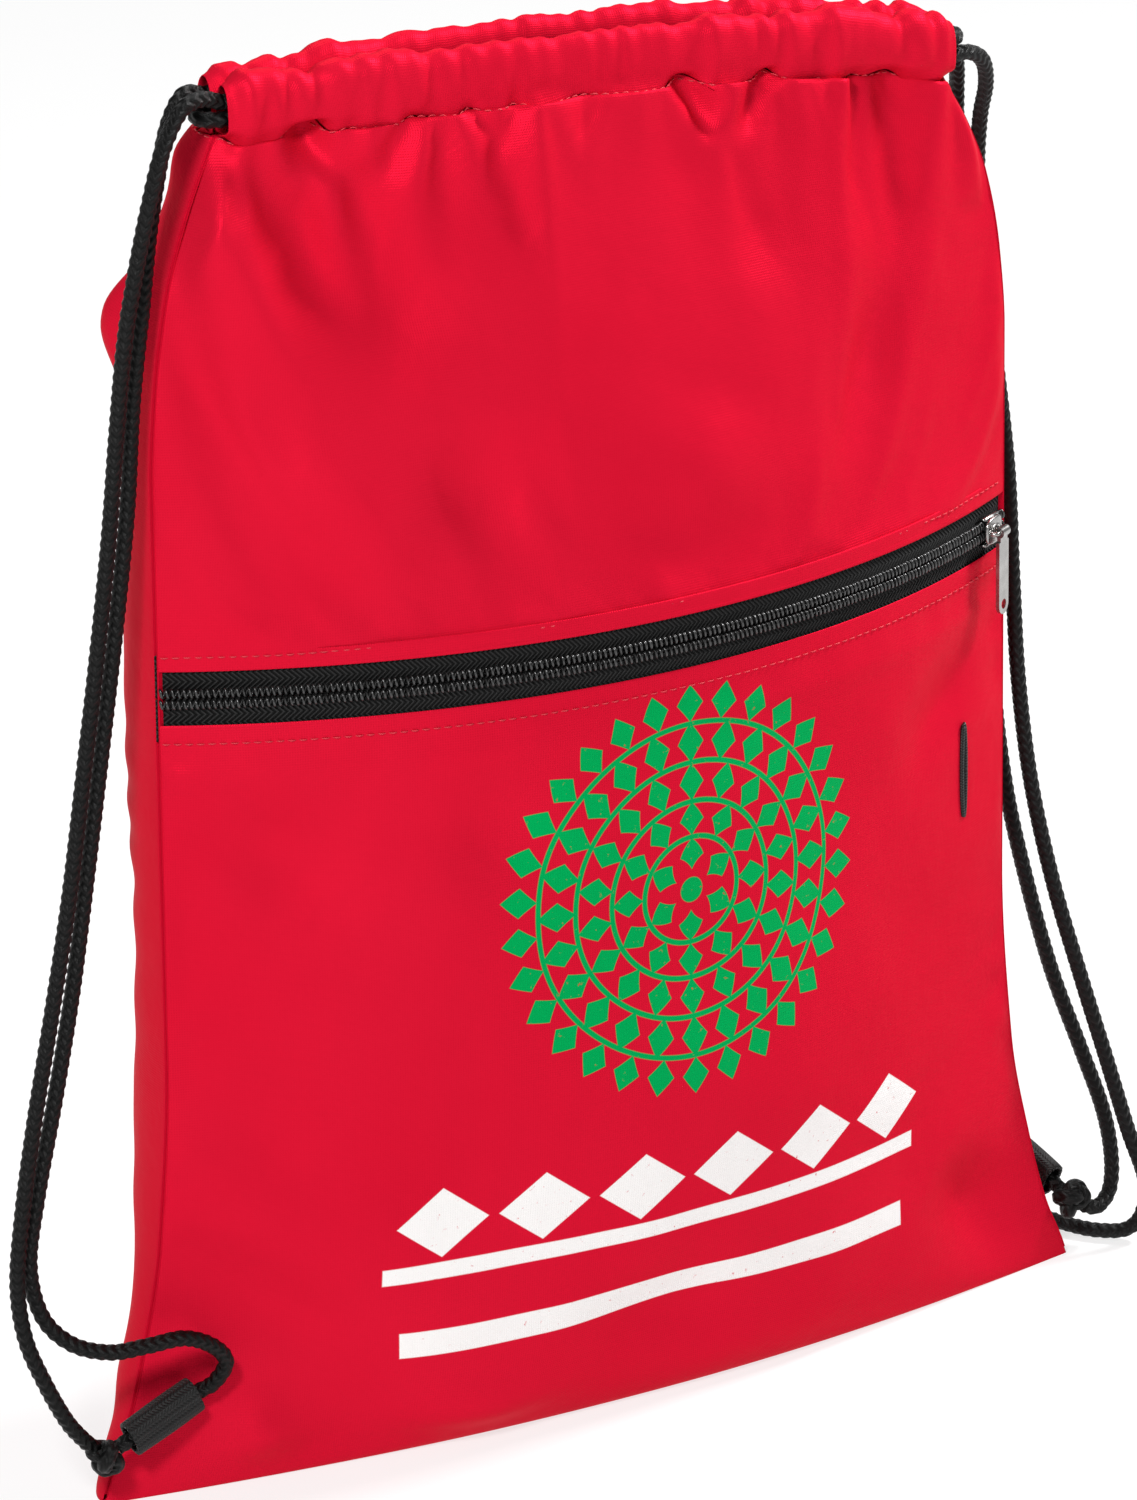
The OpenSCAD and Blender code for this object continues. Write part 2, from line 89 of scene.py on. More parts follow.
# Height, half width, front bulge and back bulge of each ring of the stuffed bag, as in the CAD
RINGS = [
    (0, CORNER_W, 0.2, 0.2),
    (0, CORNER_W, 10, 12),
    (0, CORNER_W, 20, 24),
    (6, CORNER_W - 2, 0.58 * FRONT_BULGE, 0.5 * BACK_BULGE),
    (20, CORNER_W - 8, 0.72 * FRONT_BULGE, 0.64 * BACK_BULGE),
    (45, BELLY_W + 11, 0.85 * FRONT_BULGE, 0.78 * BACK_BULGE),
    (80, BELLY_W + 4, 0.94 * FRONT_BULGE, 0.89 * BACK_BULGE),
    (140, BELLY_W, FRONT_BULGE, 0.98 * BACK_BULGE),
    (200, BELLY_W, FRONT_BULGE, BACK_BULGE),
    (290, BELLY_W, FRONT_BULGE, 0.95 * BACK_BULGE),
    (320, BELLY_W, 0.94 * FRONT_BULGE, 0.87 * BACK_BULGE),
    (350, BELLY_W - 2, 0.83 * FRONT_BULGE, 0.73 * BACK_BULGE),
    (380, BELLY_W - 7, 0.64 * FRONT_BULGE, 0.55 * BACK_BULGE),
    (402, MOUTH_W + 10, 0.44 * FRONT_BULGE, 0.37 * BACK_BULGE),
    (PANEL_TOP_Z, MOUTH_W, 0.26 * FRONT_BULGE, 0.2 * BACK_BULGE),
]

# Routes of the free strands of cord, in millimetres, as in the CAD
CORD_ROUTES = {
    "drawcord_left_outer": [
        (-128, -5, 436.4), (-136, -7, 439), (-144, -9, 437), (-151, -10, 426),
        (-156, -10, 410), (-160, -9, 392), (-164, -8, 370), (-167, -7, 342),
        (-170, -6, 310), (-175, -6, 275), (-181, -6, 237), (-187, -6, 200),
        (-194, -6, 165), (-201, -6, 132), (-206, -6, 104), (-209, -7, 82),
        (-208, -9, 65), (-203, -11, 50), (-196, -11, 36), (-190, -10.5, 28),
        (-186, -10, 24),
    ],
    "drawcord_left_inner": [
        (-128, 5, 436.4), (-136, 3, 438), (-143, 0, 431), (-148, -2, 417),
        (-152, -3, 400), (-155, -3, 378), (-159, -3, 350), (-162, -3, 316),
        (-167, -3, 280), (-173, -3, 242), (-179, -3, 205), (-185, -3, 170),
        (-192, -3, 137), (-199, -3, 107), (-203, -4, 86), (-201, -7, 70),
        (-194, -12, 61), (-183, -16, 57), (-171, -18, 57), (-159, -19, 57),
        (-149, -18.5, 52), (-143.5, -17, 45), (-146, -13.8, 37.6), (-151.5, -11.6, 34.3),
        (-163, -11.4, 29.4), (-174.5, -11.2, 24.5), (-178.5, -10.6, 22.5),
    ],
    "drawcord_right_outer": [
        (128, -5, 409.2), (136, -4, 409), (144, 0, 404), (150, 7, 394),
        (154, 16, 380), (158, 23, 358), (161, 23, 328), (162, 18, 298),
        (163, 13, 265), (163, 10, 230), (164, 8, 196), (167, 5, 162),
        (173, 1, 128), (181, -3, 96), (190, -5, 66), (198, -6, 40),
        (204, -7, 22), (204, -6, 10), (200, -3, 4), (193, 3, 3),
        (188, 12, 3), (185, 24, 3), (183, 35, 6), (180.5, 45, 13),
        (176.5, 50, 23), (172.5, 48, 33), (171.5, 41, 36.4), (173.2, 30.2, 31.9),
        (175.5, 19, 27), (177.8, 7.8, 22.1), (178.7, 3.6, 20.2),
    ],
    "drawcord_right_inner": [
        (128, 5, 409.2), (136, 8, 408), (143, 13, 401), (148, 20, 389),
        (152, 26, 372), (155, 29, 350), (157, 29, 320), (158, 24, 290),
        (159, 19, 258), (159, 16, 224), (159, 14, 190), (162, 11, 157),
        (168, 8, 126), (176, 6, 96), (186, 4, 68), (194, 3, 46),
        (197, 2, 30), (196, 1, 18), (190.5, 0, 13), (184.5, -0.5, 15),
    ],
}

# ---------------------------------------------------------------------------
# Camera, light and floor
# ---------------------------------------------------------------------------

CAMERA_AZIMUTH = -31.8
CAMERA_ELEVATION = 20
CAMERA_ROLL = -0.66
CAMERA_DISTANCE = 3.0
CAMERA_TARGET = Vector((-0.0083, 0, 0.2098))
CAMERA_LENS = 235.5

LIGHT_AIM = Vector((0, 0, 0.2))
# Name, azimuth, elevation, distance, diameter and power of each soft lamp
LIGHTS = (
    ("key", -48, 36, 1.8, 0.28, 24),
    ("side", 86, 42, 1.8, 0.32, 40),
    ("back", 160, 50, 2.4, 0.9, 14),
)
WORLD_STRENGTH = 0.26
FLOOR_HALF = 12.0
FLOOR_COLOUR = (0.25, 0.25, 0.25, 1)
FLOOR_ROUGHNESS = 0.7
FLOOR_GLOW = 0.72


def direction(azimuth, elevation):
    """Unit vector from the object towards a place seen at these angles."""
    a = math.radians(azimuth)
    e = math.radians(elevation)
    return Vector((math.sin(a) * math.cos(e), -math.cos(a) * math.cos(e), math.sin(e)))


def make_camera():
    data = bpy.data.cameras.new("camera")
    data.lens = CAMERA_LENS
    data.sensor_width = 36
    data.clip_start = 0.1
    data.clip_end = 50
    camera = bpy.data.objects.new("camera", data)
    bpy.context.collection.objects.link(camera)
    towards = direction(CAMERA_AZIMUTH, CAMERA_ELEVATION)
    camera.location = CAMERA_TARGET + CAMERA_DISTANCE * towards
    level = (-towards).to_track_quat("-Z", "Y").to_matrix()
    camera.rotation_euler = (level @ Matrix.Rotation(math.radians(CAMERA_ROLL), 3, "Z")).to_euler()
    bpy.context.scene.camera = camera


def make_area_light(name, azimuth, elevation, distance, size, power):
    data = bpy.data.lights.new(name, "AREA")
    data.shape = "DISK"
    data.size = size
    data.energy = power
    light = bpy.data.objects.new(name, data)
    bpy.context.collection.objects.link(light)
    towards = direction(azimuth, elevation)
    light.location = LIGHT_AIM + distance * towards
    light.rotation_euler = (-towards).to_track_quat("-Z", "Y").to_euler()


def make_world():
    world = bpy.data.worlds.new("studio")
    world.use_nodes = True
    background = world.node_tree.nodes["Background"]
    background.inputs["Color"].default_value = (1, 1, 1, 1)
    background.inputs["Strength"].default_value = WORLD_STRENGTH
    bpy.context.scene.world = world
    bpy.context.scene.view_settings.view_transform = "Standard"


def make_floor():
    """A wide, flat, pale floor that glows a little, so that it stays even to the horizon."""
    mesh = bpy.data.meshes.new("floor")
    corners = [(x * FLOOR_HALF, y * FLOOR_HALF, 0) for x, y in ((-1, -1), (1, -1), (1, 1), (-1, 1))]
    mesh.from_pydata(corners, [], [(0, 1, 2, 3)])
    floor = bpy.data.objects.new("floor", mesh)
    bpy.context.collection.objects.link(floor)
    material = bpy.data.materials.new("floor_paint")
    material.use_nodes = True
    shader = material.node_tree.nodes["Principled BSDF"]
    shader.inputs["Base Color"].default_value = FLOOR_COLOUR
    shader.inputs["Roughness"].default_value = FLOOR_ROUGHNESS
    shader.inputs["Emission Color"].default_value = (1, 1, 1, 1)
    shader.inputs["Emission Strength"].default_value = FLOOR_GLOW
    mesh.materials.append(material)


# ---------------------------------------------------------------------------
# Node material helpers
# ---------------------------------------------------------------------------


class Graph:
    """Short ways to add and link shader nodes."""

    def __init__(self, name):
        self.material = bpy.data.materials.new(name)
        self.material.use_nodes = True
        self.tree = self.material.node_tree
        self.shader = self.tree.nodes["Principled BSDF"]

    def node(self, kind, **settings):
        node = self.tree.nodes.new(kind)
        for key, value in settings.items():
            setattr(node, key, value)
        return node

    def put(self, socket, value):
        if isinstance(value, bpy.types.NodeSocket):
            self.tree.links.new(value, socket)
        else:
            socket.default_value = value

    def math(self, operation, *values):
        node = self.node("ShaderNodeMath", operation=operation)
        for socket, value in zip(node.inputs, values):
            self.put(socket, value)
        return node.outputs[0]

    def mix_colour(self, factor, a, b):
        node = self.node("ShaderNodeMix", data_type="RGBA")
        self.put(node.inputs["Factor"], factor)
        self.put(node.inputs[6], a)
        self.put(node.inputs[7], b)
        return node.outputs[2]

    def noise(self, vector, scale, detail=3.0, roughness=0.5):
        node = self.node("ShaderNodeTexNoise")
        self.put(node.inputs["Vector"], vector)
        node.inputs["Scale"].default_value = scale
        node.inputs["Detail"].default_value = detail
        node.inputs["Roughness"].default_value = roughness
        return node.outputs["Fac"]

    def object_point(self):
        return self.node("ShaderNodeTexCoord").outputs["Object"]

    def flat_point(self):
        return self.node("ShaderNodeUVMap", uv_map="flat").outputs["UV"]

    def split(self, vector):
        node = self.node("ShaderNodeSeparateXYZ")
        self.put(node.inputs[0], vector)
        return node.outputs[0], node.outputs[1], node.outputs[2]

    def bump(self, height, distance, strength=1.0, normal=None):
        node = self.node("ShaderNodeBump")
        node.inputs["Strength"].default_value = strength
        node.inputs["Distance"].default_value = distance
        self.put(node.inputs["Height"], height)
        if normal is not None:
            self.put(node.inputs["Normal"], normal)
        return node.outputs[0]

    def finish(self, **inputs):
        for key, value in inputs.items():
            self.put(self.shader.inputs[key.replace("_", " ")], value)
        return self.material


def grey(value):
    return (value, value, value, 1)


def wave(graph, value, pitch):
    """A cosine of a length in metres, from 0 to 1, that repeats every pitch metres."""
    turned = graph.math("MULTIPLY", value, 2 * math.pi / pitch)
    return graph.math("MULTIPLY_ADD", graph.math("COSINE", turned), 0.5, 0.5)


def weave_height(graph, x, y, pitch):
    """Over-and-under threads of a plain weave."""
    return graph.math("MAXIMUM", wave(graph, x, pitch), wave(graph, y, pitch))


def map_range(graph, value, low, high):
    node = graph.node("ShaderNodeMapRange")
    node.clamp = True
    graph.put(node.inputs["Value"], value)
    node.inputs["From Min"].default_value = low
    node.inputs["From Max"].default_value = high
    return node.outputs["Result"]


RED = (0.6, 0.005, 0.025, 1)
RED_DEEP = (0.5, 0.003, 0.019, 1)
RED_LIGHT = (0.68, 0.01, 0.036, 1)
INK_GREEN = (0.0, 0.37, 0.09, 1)
INK_WHITE = (0.88, 0.87, 0.86, 1)


def red_cloth(name, printed=False, inside=False):
    """Thin satiny polyester: plain weave with painted shade in the gaps between its threads, slow
    colour drift and small creases; the inside copy is the same cloth painted darker as shade.
    """
    g = Graph(name)
    flat = g.flat_point()
    x, y, _ = g.split(flat)
    weave = weave_height(g, x, y, 0.0008)
    drift = g.noise(flat, 12, 4)
    fine = g.noise(flat, 900, 2)
    # For cloth inside the bag (lining, seam allowances) the drift runs from RED_DEEP to RED: painted
    # shade, a darker copy of the same red cloth.
    colour = g.mix_colour(drift, RED_DEEP if inside else RED, RED if inside else RED_LIGHT)
    # Painted shade: the colour is pulled towards RED_DEEP in the low gaps between the weave's threads.
    colour = g.mix_colour(g.math("MULTIPLY", g.math("SUBTRACT", 1.0, weave), 0.45), colour, RED_DEEP)
    roughness = g.math("MULTIPLY_ADD", g.noise(flat, 40, 3), 0.12, 0.38)
    crease = g.noise(flat, 55, 5, 0.55)
    normal = g.bump(crease, 0.0016, 0.5)
    normal = g.bump(weave, 0.0001, 0.6, normal)
    normal = g.bump(fine, 0.00005, 0.35, normal)
    if printed:
        colour, roughness = add_print(g, x, y, colour, roughness)
    return g.finish(
        Base_Color=colour,
        Roughness=roughness,
        Normal=normal,
        Metallic=0.26,
        Specular_IOR_Level=0.02,
        Specular_Tint=(1, 0.12, 0.14, 1),
    )


# The printed badge, in metres from the middle of the panel and from the bottom seam
BADGE_X = 0.008
BADGE_Y = 0.196
# Radius, number of diamonds, half length and half width of each ring of the badge
BADGE_RINGS = (
    (0.0615, 30, 0.0062, 0.0048),
    (0.0485, 24, 0.0068, 0.0048),
    (0.0355, 18, 0.0062, 0.0045),
    (0.0235, 12, 0.0056, 0.0045),
    (0.0120, 6, 0.0052, 0.0046),
)
BADGE_CIRCLES = (0.0548, 0.0420, 0.0293, 0.0176)
CIRCLE_HALF = 0.0009
DISC_R = 0.0042
# Height, half height, first and last place of the white bars
BAR_ROWS = ((0.083, 0.0028, -0.098, 0.108), (0.058, 0.0045, -0.092, 0.102))
STUD_ROW_Y = 0.099
STUD_PITCH = 0.0345
STUD_HALF_L = 0.0155
STUD_HALF_H = 0.0115
STUD_REACH = 0.1035
# How soft the edges of the print are, and where its wear starts and ends on the noise
PRINT_EDGE = 0.0002
WEAR_LOW = 0.27
WEAR_HIGH = 0.36


def add_print(g, x, y, colour, roughness):
    """Screen print: a green badge of rings of diamonds, over white diamonds and two bars."""
    dx = g.math("SUBTRACT", x, BADGE_X)
    dy = g.math("SUBTRACT", y, BADGE_Y)
    radius = g.math("SQRT", g.math("ADD", g.math("MULTIPLY", dx, dx), g.math("MULTIPLY", dy, dy)))
    angle = g.math("ARCTAN2", dy, dx)
    green = map_range(g, g.math("SUBTRACT", DISC_R, radius), -PRINT_EDGE, PRINT_EDGE)
    for i, (ring_r, count, half_l, half_w) in enumerate(BADGE_RINGS):
        step = 2 * math.pi / count
        turned = g.math("ADD", angle, 4 * math.pi + step / 2 * (i % 2))
        off = g.math("SUBTRACT", g.math("FRACT", g.math("DIVIDE", turned, step)), 0.5)
        side = g.math("ABSOLUTE", g.math("MULTIPLY", off, step * ring_r / half_w))
        out = g.math("ABSOLUTE", g.math("DIVIDE", g.math("SUBTRACT", radius, ring_r), half_l))
        clear = g.math("MULTIPLY", g.math("SUBTRACT", 1.0, g.math("ADD", side, out)), half_w)
        green = g.math("MAXIMUM", green, map_range(g, clear, -PRINT_EDGE, PRINT_EDGE))
    for circle_r in BADGE_CIRCLES:
        off = g.math("ABSOLUTE", g.math("SUBTRACT", radius, circle_r))
        clear = g.math("SUBTRACT", CIRCLE_HALF, off)
        green = g.math("MAXIMUM", green, map_range(g, clear, -PRINT_EDGE, PRINT_EDGE))

    white = 0.0
    for row_y, half_h, low_x, high_x in BAR_ROWS:
        off = g.math("ABSOLUTE", g.math("SUBTRACT", y, row_y))
        side = g.math("ABSOLUTE", g.math("SUBTRACT", x, (low_x + high_x) / 2))
        clear = g.math("SUBTRACT", half_h, off)
        clear = g.math("MINIMUM", clear, g.math("SUBTRACT", (high_x - low_x) / 2, side))
        white = g.math("MAXIMUM", white, map_range(g, clear, -PRINT_EDGE, PRINT_EDGE))
    place = g.math("DIVIDE", g.math("ADD", x, 100 * STUD_PITCH - BADGE_X), STUD_PITCH)
    off = g.math("SUBTRACT", g.math("FRACT", place), 0.5)
    side = g.math("ABSOLUTE", g.math("MULTIPLY", off, STUD_PITCH / STUD_HALF_L))
    out = g.math("ABSOLUTE", g.math("DIVIDE", g.math("SUBTRACT", y, STUD_ROW_Y), STUD_HALF_H))
    clear = g.math("MULTIPLY", g.math("SUBTRACT", 1.0, g.math("ADD", side, out)), STUD_HALF_H)
    reach = g.math("SUBTRACT", STUD_REACH, g.math("ABSOLUTE", dx))
    studs = map_range(g, g.math("MINIMUM", clear, reach), -PRINT_EDGE, PRINT_EDGE)
    white = g.math("MAXIMUM", white, studs)

    wear = g.noise(g.flat_point(), 420, 4, 0.7)
    thin = map_range(g, wear, WEAR_LOW, WEAR_HIGH)
    green = g.math("MULTIPLY", green, thin)
    white = g.math("MULTIPLY", white, thin)
    colour = g.mix_colour(green, colour, INK_GREEN)
    colour = g.mix_colour(white, colour, INK_WHITE)
    inked = g.math("MAXIMUM", green, white)
    roughness = g.math("MULTIPLY_ADD", inked, 0.2, roughness)
    return colour, roughness


def tape_material():
    """Herringbone zipper tape: slanted ribs that change side every few threads, painted lighter on
    their crests and darker in their grooves (painted highlight and shade).
    """
    g = Graph("zipper_tape_weave")
    x, _, z = g.split(g.object_point())
    column = g.math("PINGPONG", z, 0.0026)
    ribs = wave(g, g.math("ADD", x, column), 0.0016)
    height = g.math("MULTIPLY_ADD", wave(g, z, 0.0052), 0.2, ribs)
    # Painted highlight and shade: the colour follows the ribs, lighter on their crests and darker in
    # the grooves between them.
    colour = g.mix_colour(g.math("POWER", ribs, 1.6), grey(0.0006), grey(0.03))
    normal = g.bump(height, 0.001, 1.0)
    return g.finish(
        Base_Color=colour, Roughness=0.75, Normal=normal, Sheen_Weight=0.03, Specular_IOR_Level=0.12
    )


def webbing_material():
    """Webbing: ribs along it, crossed by fine threads, with painted highlight on their crests and
    painted shade in their grooves.
    """
    g = Graph("corner_webbing")
    along, around, _ = g.split(g.flat_point())
    ribs = wave(g, around, 0.0016)
    threads = wave(g, g.math("ADD", along, g.math("PINGPONG", around, 0.0016)), 0.0012)
    height = g.math("MULTIPLY_ADD", threads, 0.6, ribs)
    # Painted highlight and shade: lighter where the ribs and threads stand high, darker in the grooves.
    colour = g.mix_colour(g.math("MULTIPLY", height, 0.6), grey(0.0015), grey(0.015))
    normal = g.bump(height, 0.0004, 1.0)
    return g.finish(
        Base_Color=colour, Roughness=0.55, Normal=normal, Sheen_Weight=0.04, Specular_IOR_Level=0.3
    )


BRAID_PITCH = 0.0032
BRAID_COLUMNS = 4
BRAID_SLANT = 0.0021


def braid_height(along, around):
    """Strands that slant one way in each odd column round the cord, and the other in each even one."""
    column = abs((around * BRAID_COLUMNS) % 1.0 - 0.5) * 2
    strand = 0.5 + 0.5 * math.cos(2 * math.pi * (along + column * BRAID_SLANT) / BRAID_PITCH)
    groove = 1 - 0.35 * max(0.0, 1 - column * 5) - 0.35 * max(0.0, column * 5 - 4)
    return strand * groove


def cord_material():
    """Soft black yarn, with a painted highlight on top of each strand of the braid and painted shade in
    the grooves between strands.
    """
    g = Graph("braided_cord")
    along, around, _ = g.split(g.flat_point())
    column = g.math("FRACT", g.math("MULTIPLY", around, float(BRAID_COLUMNS)))
    column = g.math("MULTIPLY", g.math("ABSOLUTE", g.math("SUBTRACT", column, 0.5)), 2.0)
    strand = wave(g, g.math("MULTIPLY_ADD", column, BRAID_SLANT, along), BRAID_PITCH)
    yarn = wave(g, g.math("MULTIPLY_ADD", column, -2 * BRAID_SLANT, along), 0.0009)
    fibre = g.noise(g.object_point(), 2600, 2)
    # Painted highlight and shade: lighter on top of each strand, near black in the grooves between
    # them.
    colour = g.mix_colour(g.math("MULTIPLY", strand, 0.8), grey(0.0004), grey(0.005))
    colour = g.mix_colour(g.math("MULTIPLY", fibre, 0.2), colour, grey(0.01))
    normal = g.bump(strand, 0.0004, 0.6)
    normal = g.bump(yarn, 0.00015, 0.5, normal)
    normal = g.bump(fibre, 0.0001, 0.4, normal)
    return g.finish(Base_Color=colour, Roughness=0.4, Normal=normal, Specular_IOR_Level=0.16)


def nylon_material():
    """Moulded coil wire, with a shine that varies a little."""
    g = Graph("coil_nylon")
    spots = g.noise(g.object_point(), 1500, 2)
    colour = g.mix_colour(spots, grey(0.002), grey(0.008))
    roughness = g.math("MULTIPLY_ADD", spots, 0.15, 0.28)
    return g.finish(Base_Color=colour, Roughness=roughness, Specular_IOR_Level=0.9)


def nickel_material():
    """Plated metal with fine brushing and a few dull patches."""
    g = Graph("nickel_plate")
    point = g.object_point()
    patches = g.noise(point, 260, 4)
    colour = g.mix_colour(patches, (0.2, 0.195, 0.19, 1), (0.5, 0.49, 0.48, 1))
    roughness = g.math("MULTIPLY_ADD", patches, 0.25, 0.14)
    normal = g.bump(g.noise(point, 1800, 3), 0.00005, 0.3)
    return g.finish(Base_Color=colour, Roughness=roughness, Metallic=1.0, Normal=normal)


def slit_material():
    """Binding tape round the slit: fine ribs across it, with painted highlight on their crests and
    painted shade in their grooves.
    """
    g = Graph("slit_binding")
    _, _, z = g.split(g.object_point())
    ribs = wave(g, z, 0.0009)
    # Painted highlight and shade: the colour follows the ribs, lighter on crests and darker in grooves.
    colour = g.mix_colour(ribs, grey(0.001), grey(0.009))
    normal = g.bump(ribs, 0.0002, 0.8)
    return g.finish(Base_Color=colour, Roughness=0.4, Normal=normal, Specular_IOR_Level=0.3)


def thread_material():
    """Red sewing thread, twisted, with painted highlight on the crests of the twist and painted shade
    in its grooves.
    """
    g = Graph("sewing_thread")
    x, _, z = g.split(g.object_point())
    twist = wave(g, g.math("ADD", x, z), 0.0006)
    # Painted highlight and shade: lighter red on the crests of the twist, darker red in its grooves.
    colour = g.mix_colour(twist, (0.4, 0.01, 0.03, 1), (0.8, 0.07, 0.09, 1))
    normal = g.bump(twist, 0.0001, 0.6)
    return g.finish(Base_Color=colour, Roughness=0.5, Normal=normal, Specular_IOR_Level=0.2)


# ---------------------------------------------------------------------------
# Mesh helpers
# ---------------------------------------------------------------------------


def new_object(name, vertices, faces, material, body="bag", uvs=None):
    """Adds a mesh given in millimetres, with a UV pair in metres for each vertex if given."""
    mesh = bpy.data.meshes.new(name)
    mesh.from_pydata([tuple(v) for v in np.asarray(vertices) * MM], [], faces)
    mesh.update()
    mesh.shade_smooth()
    if uvs is not None:
        layer = mesh.uv_layers.new(name="flat")
        index = np.empty(len(mesh.loops), dtype=np.int32)
        mesh.loops.foreach_get("vertex_index", index)
        layer.data.foreach_set("uv", np.asarray(uvs)[index].astype(np.float32).ravel())
    mesh.materials.append(material)
    piece = bpy.data.objects.new(name, mesh)
    bpy.context.collection.objects.link(piece)
    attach(piece, body)
    return piece


def stands_for(piece, node):
    """Hides the CAD node that the piece replaces."""
    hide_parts(node)


def grid_faces(rows, columns, flipped=False):
    """Faces of a grid of points, row after row."""
    faces = [
        (i * columns + j, i * columns + j + 1, (i + 1) * columns + j + 1, (i + 1) * columns + j)
        for i in range(rows - 1)
        for j in range(columns - 1)
    ]
    return [face[::-1] for face in faces] if flipped else faces


def ring_faces(rings, sides, base=0):
    """Faces of a row of closed rings of points, capped at both ends."""
    faces = []
    for i in range(rings - 1):
        for j in range(sides):
            a = base + i * sides + j
            b = base + i * sides + (j + 1) % sides
            faces.append((a, b, b + sides, a + sides))
    faces.append(tuple(base + j for j in range(sides - 1, -1, -1)))
    faces.append(tuple(base + (rings - 1) * sides + j for j in range(sides)))
    return faces


def unit(vectors):
    """The same directions with length 1."""
    return vectors / np.linalg.norm(vectors, axis=-1, keepdims=True)


def lengths_along(points):
    """Length from the first point to each point of a path."""
    return np.concatenate([[0], np.cumsum(np.linalg.norm(np.diff(points, axis=0), axis=1))])


# Steps between two given points of a smooth curve
CURVE_STEPS = 24


def smooth_path(points, spacing):
    """Points at even steps on a smooth curve through the given ones."""
    p = np.asarray(points, dtype=float)
    p = np.vstack([2 * p[0] - p[1], p, 2 * p[-1] - p[-2]])
    dense = []
    for i in range(1, len(p) - 2):
        for t in np.linspace(0, 1, CURVE_STEPS, endpoint=False):
            a = 2 * p[i]
            b = (p[i + 1] - p[i - 1]) * t
            c = (2 * p[i - 1] - 5 * p[i] + 4 * p[i + 1] - p[i + 2]) * t * t
            d = (3 * p[i] - p[i - 1] - 3 * p[i + 1] + p[i + 2]) * t**3
            dense.append((a + b + c + d) / 2)
    dense.append(p[-2])
    return even_path(np.asarray(dense), spacing)


def even_path(points, spacing):
    """The same path with its points at even steps."""
    reach = lengths_along(points)
    count = max(int(round(reach[-1] / spacing)), 2) + 1
    places = np.linspace(0, reach[-1], count)
    return np.stack([np.interp(places, reach, points[:, k]) for k in range(3)], axis=1)


def path_frames(path):
    """Directions across and up for each point of a path, turned as little as possible."""
    along = unit(np.gradient(path, axis=0))
    start = np.array([0.0, 1.0, 0.0])
    if abs(along[0] @ start) > 0.9:
        start = np.array([1.0, 0.0, 0.0])
    across = [unit(np.cross(along[0], start))]
    for i in range(1, len(path)):
        across.append(unit(across[-1] - along[i] * (across[-1] @ along[i])))
    across = np.array(across)
    return across, np.cross(along, across)


def tube_mesh(path, radius, sides, radius_at=None):
    """Vertices, faces and UVs of a capped tube. V goes once round, and U is the length in metres."""
    across, up = path_frames(path)
    reach = lengths_along(path)
    vertices = []
    uvs = []
    for i, centre in enumerate(path):
        for j in range(sides + 1):
            turn = 2 * math.pi * j / sides
            r = radius if radius_at is None else radius_at(reach[i], turn)
            vertices.append(centre + r * (math.cos(turn) * across[i] + math.sin(turn) * up[i]))
            uvs.append((reach[i] * MM, j / sides))
    columns = sides + 1
    faces = grid_faces(len(path), columns)
    last = (len(path) - 1) * columns
    faces.append(tuple(range(sides - 1, -1, -1)))
    faces.append(tuple(last + j for j in range(sides)))
    return vertices, faces, uvs


WELD_DISTANCE = 0.00001


def weld(piece):
    """Joins points that lie on each other, such as the seam of a tube."""
    mesh = piece.data
    work = bmesh.new()
    work.from_mesh(mesh)
    bmesh.ops.remove_doubles(work, verts=work.verts, dist=WELD_DISTANCE)
    bmesh.ops.recalc_face_normals(work, faces=work.faces)
    work.to_mesh(mesh)
    work.free()
    mesh.update()


def add_thickness(piece, thickness, offset):
    modifier = piece.modifiers.new("thickness", "SOLIDIFY")
    modifier.thickness = thickness
    modifier.offset = offset


def add_subdivision(piece):
    modifier = piece.modifiers.new("subdivision", "SUBSURF")
    modifier.levels = 1
    modifier.render_levels = 1


# ---------------------------------------------------------------------------
# Shape of the stuffed bag
# ---------------------------------------------------------------------------


def monotone_curve(t, values, at):
    """Smooth interpolation that never overshoots its points."""
    h = np.diff(t)
    slope = np.diff(values) / h
    tangent = np.zeros(len(t))
    tangent[0] = slope[0]
    tangent[-1] = slope[-1]
    for i in range(1, len(t) - 1):
        if slope[i - 1] * slope[i] > 0:
            tangent[i] = 2 / (1 / slope[i - 1] + 1 / slope[i])
    i = np.clip(np.searchsorted(t, at, side="right") - 1, 0, len(t) - 2)
    s = (at - t[i]) / h[i]
    return (
        values[i] * (1 + 2 * s) * (1 - s) ** 2
        + tangent[i] * h[i] * s * (1 - s) ** 2
        + values[i + 1] * s * s * (3 - 2 * s)
        - tangent[i + 1] * h[i] * s * s * (1 - s)
    )


PROFILE_STEPS = 1500
SECTION_STEPS = 801


def profile_rows(side, spacing):
    """Rows of (height, half width, bulge, length from the bottom seam) up one panel."""
    rings = np.array(RINGS, dtype=float)
    bulge = rings[:, 2 if side < 0 else 3]
    t = np.concatenate([[0], np.cumsum(np.hypot(np.diff(rings[:, 0]), np.diff(bulge)))])
    fine = np.linspace(0, t[-1], PROFILE_STEPS)
    z = monotone_curve(t, rings[:, 0], fine)
    w = monotone_curve(t, rings[:, 1], fine)
    b = monotone_curve(t, bulge, fine)
    reach = np.concatenate([[0], np.cumsum(np.hypot(np.diff(z), np.diff(b)))])
    places = np.arange(0, reach[-1] + spacing / 2, spacing)
    columns = [np.interp(places, reach, v) for v in (z, w, b)]
    return np.stack(columns + [places], axis=1)


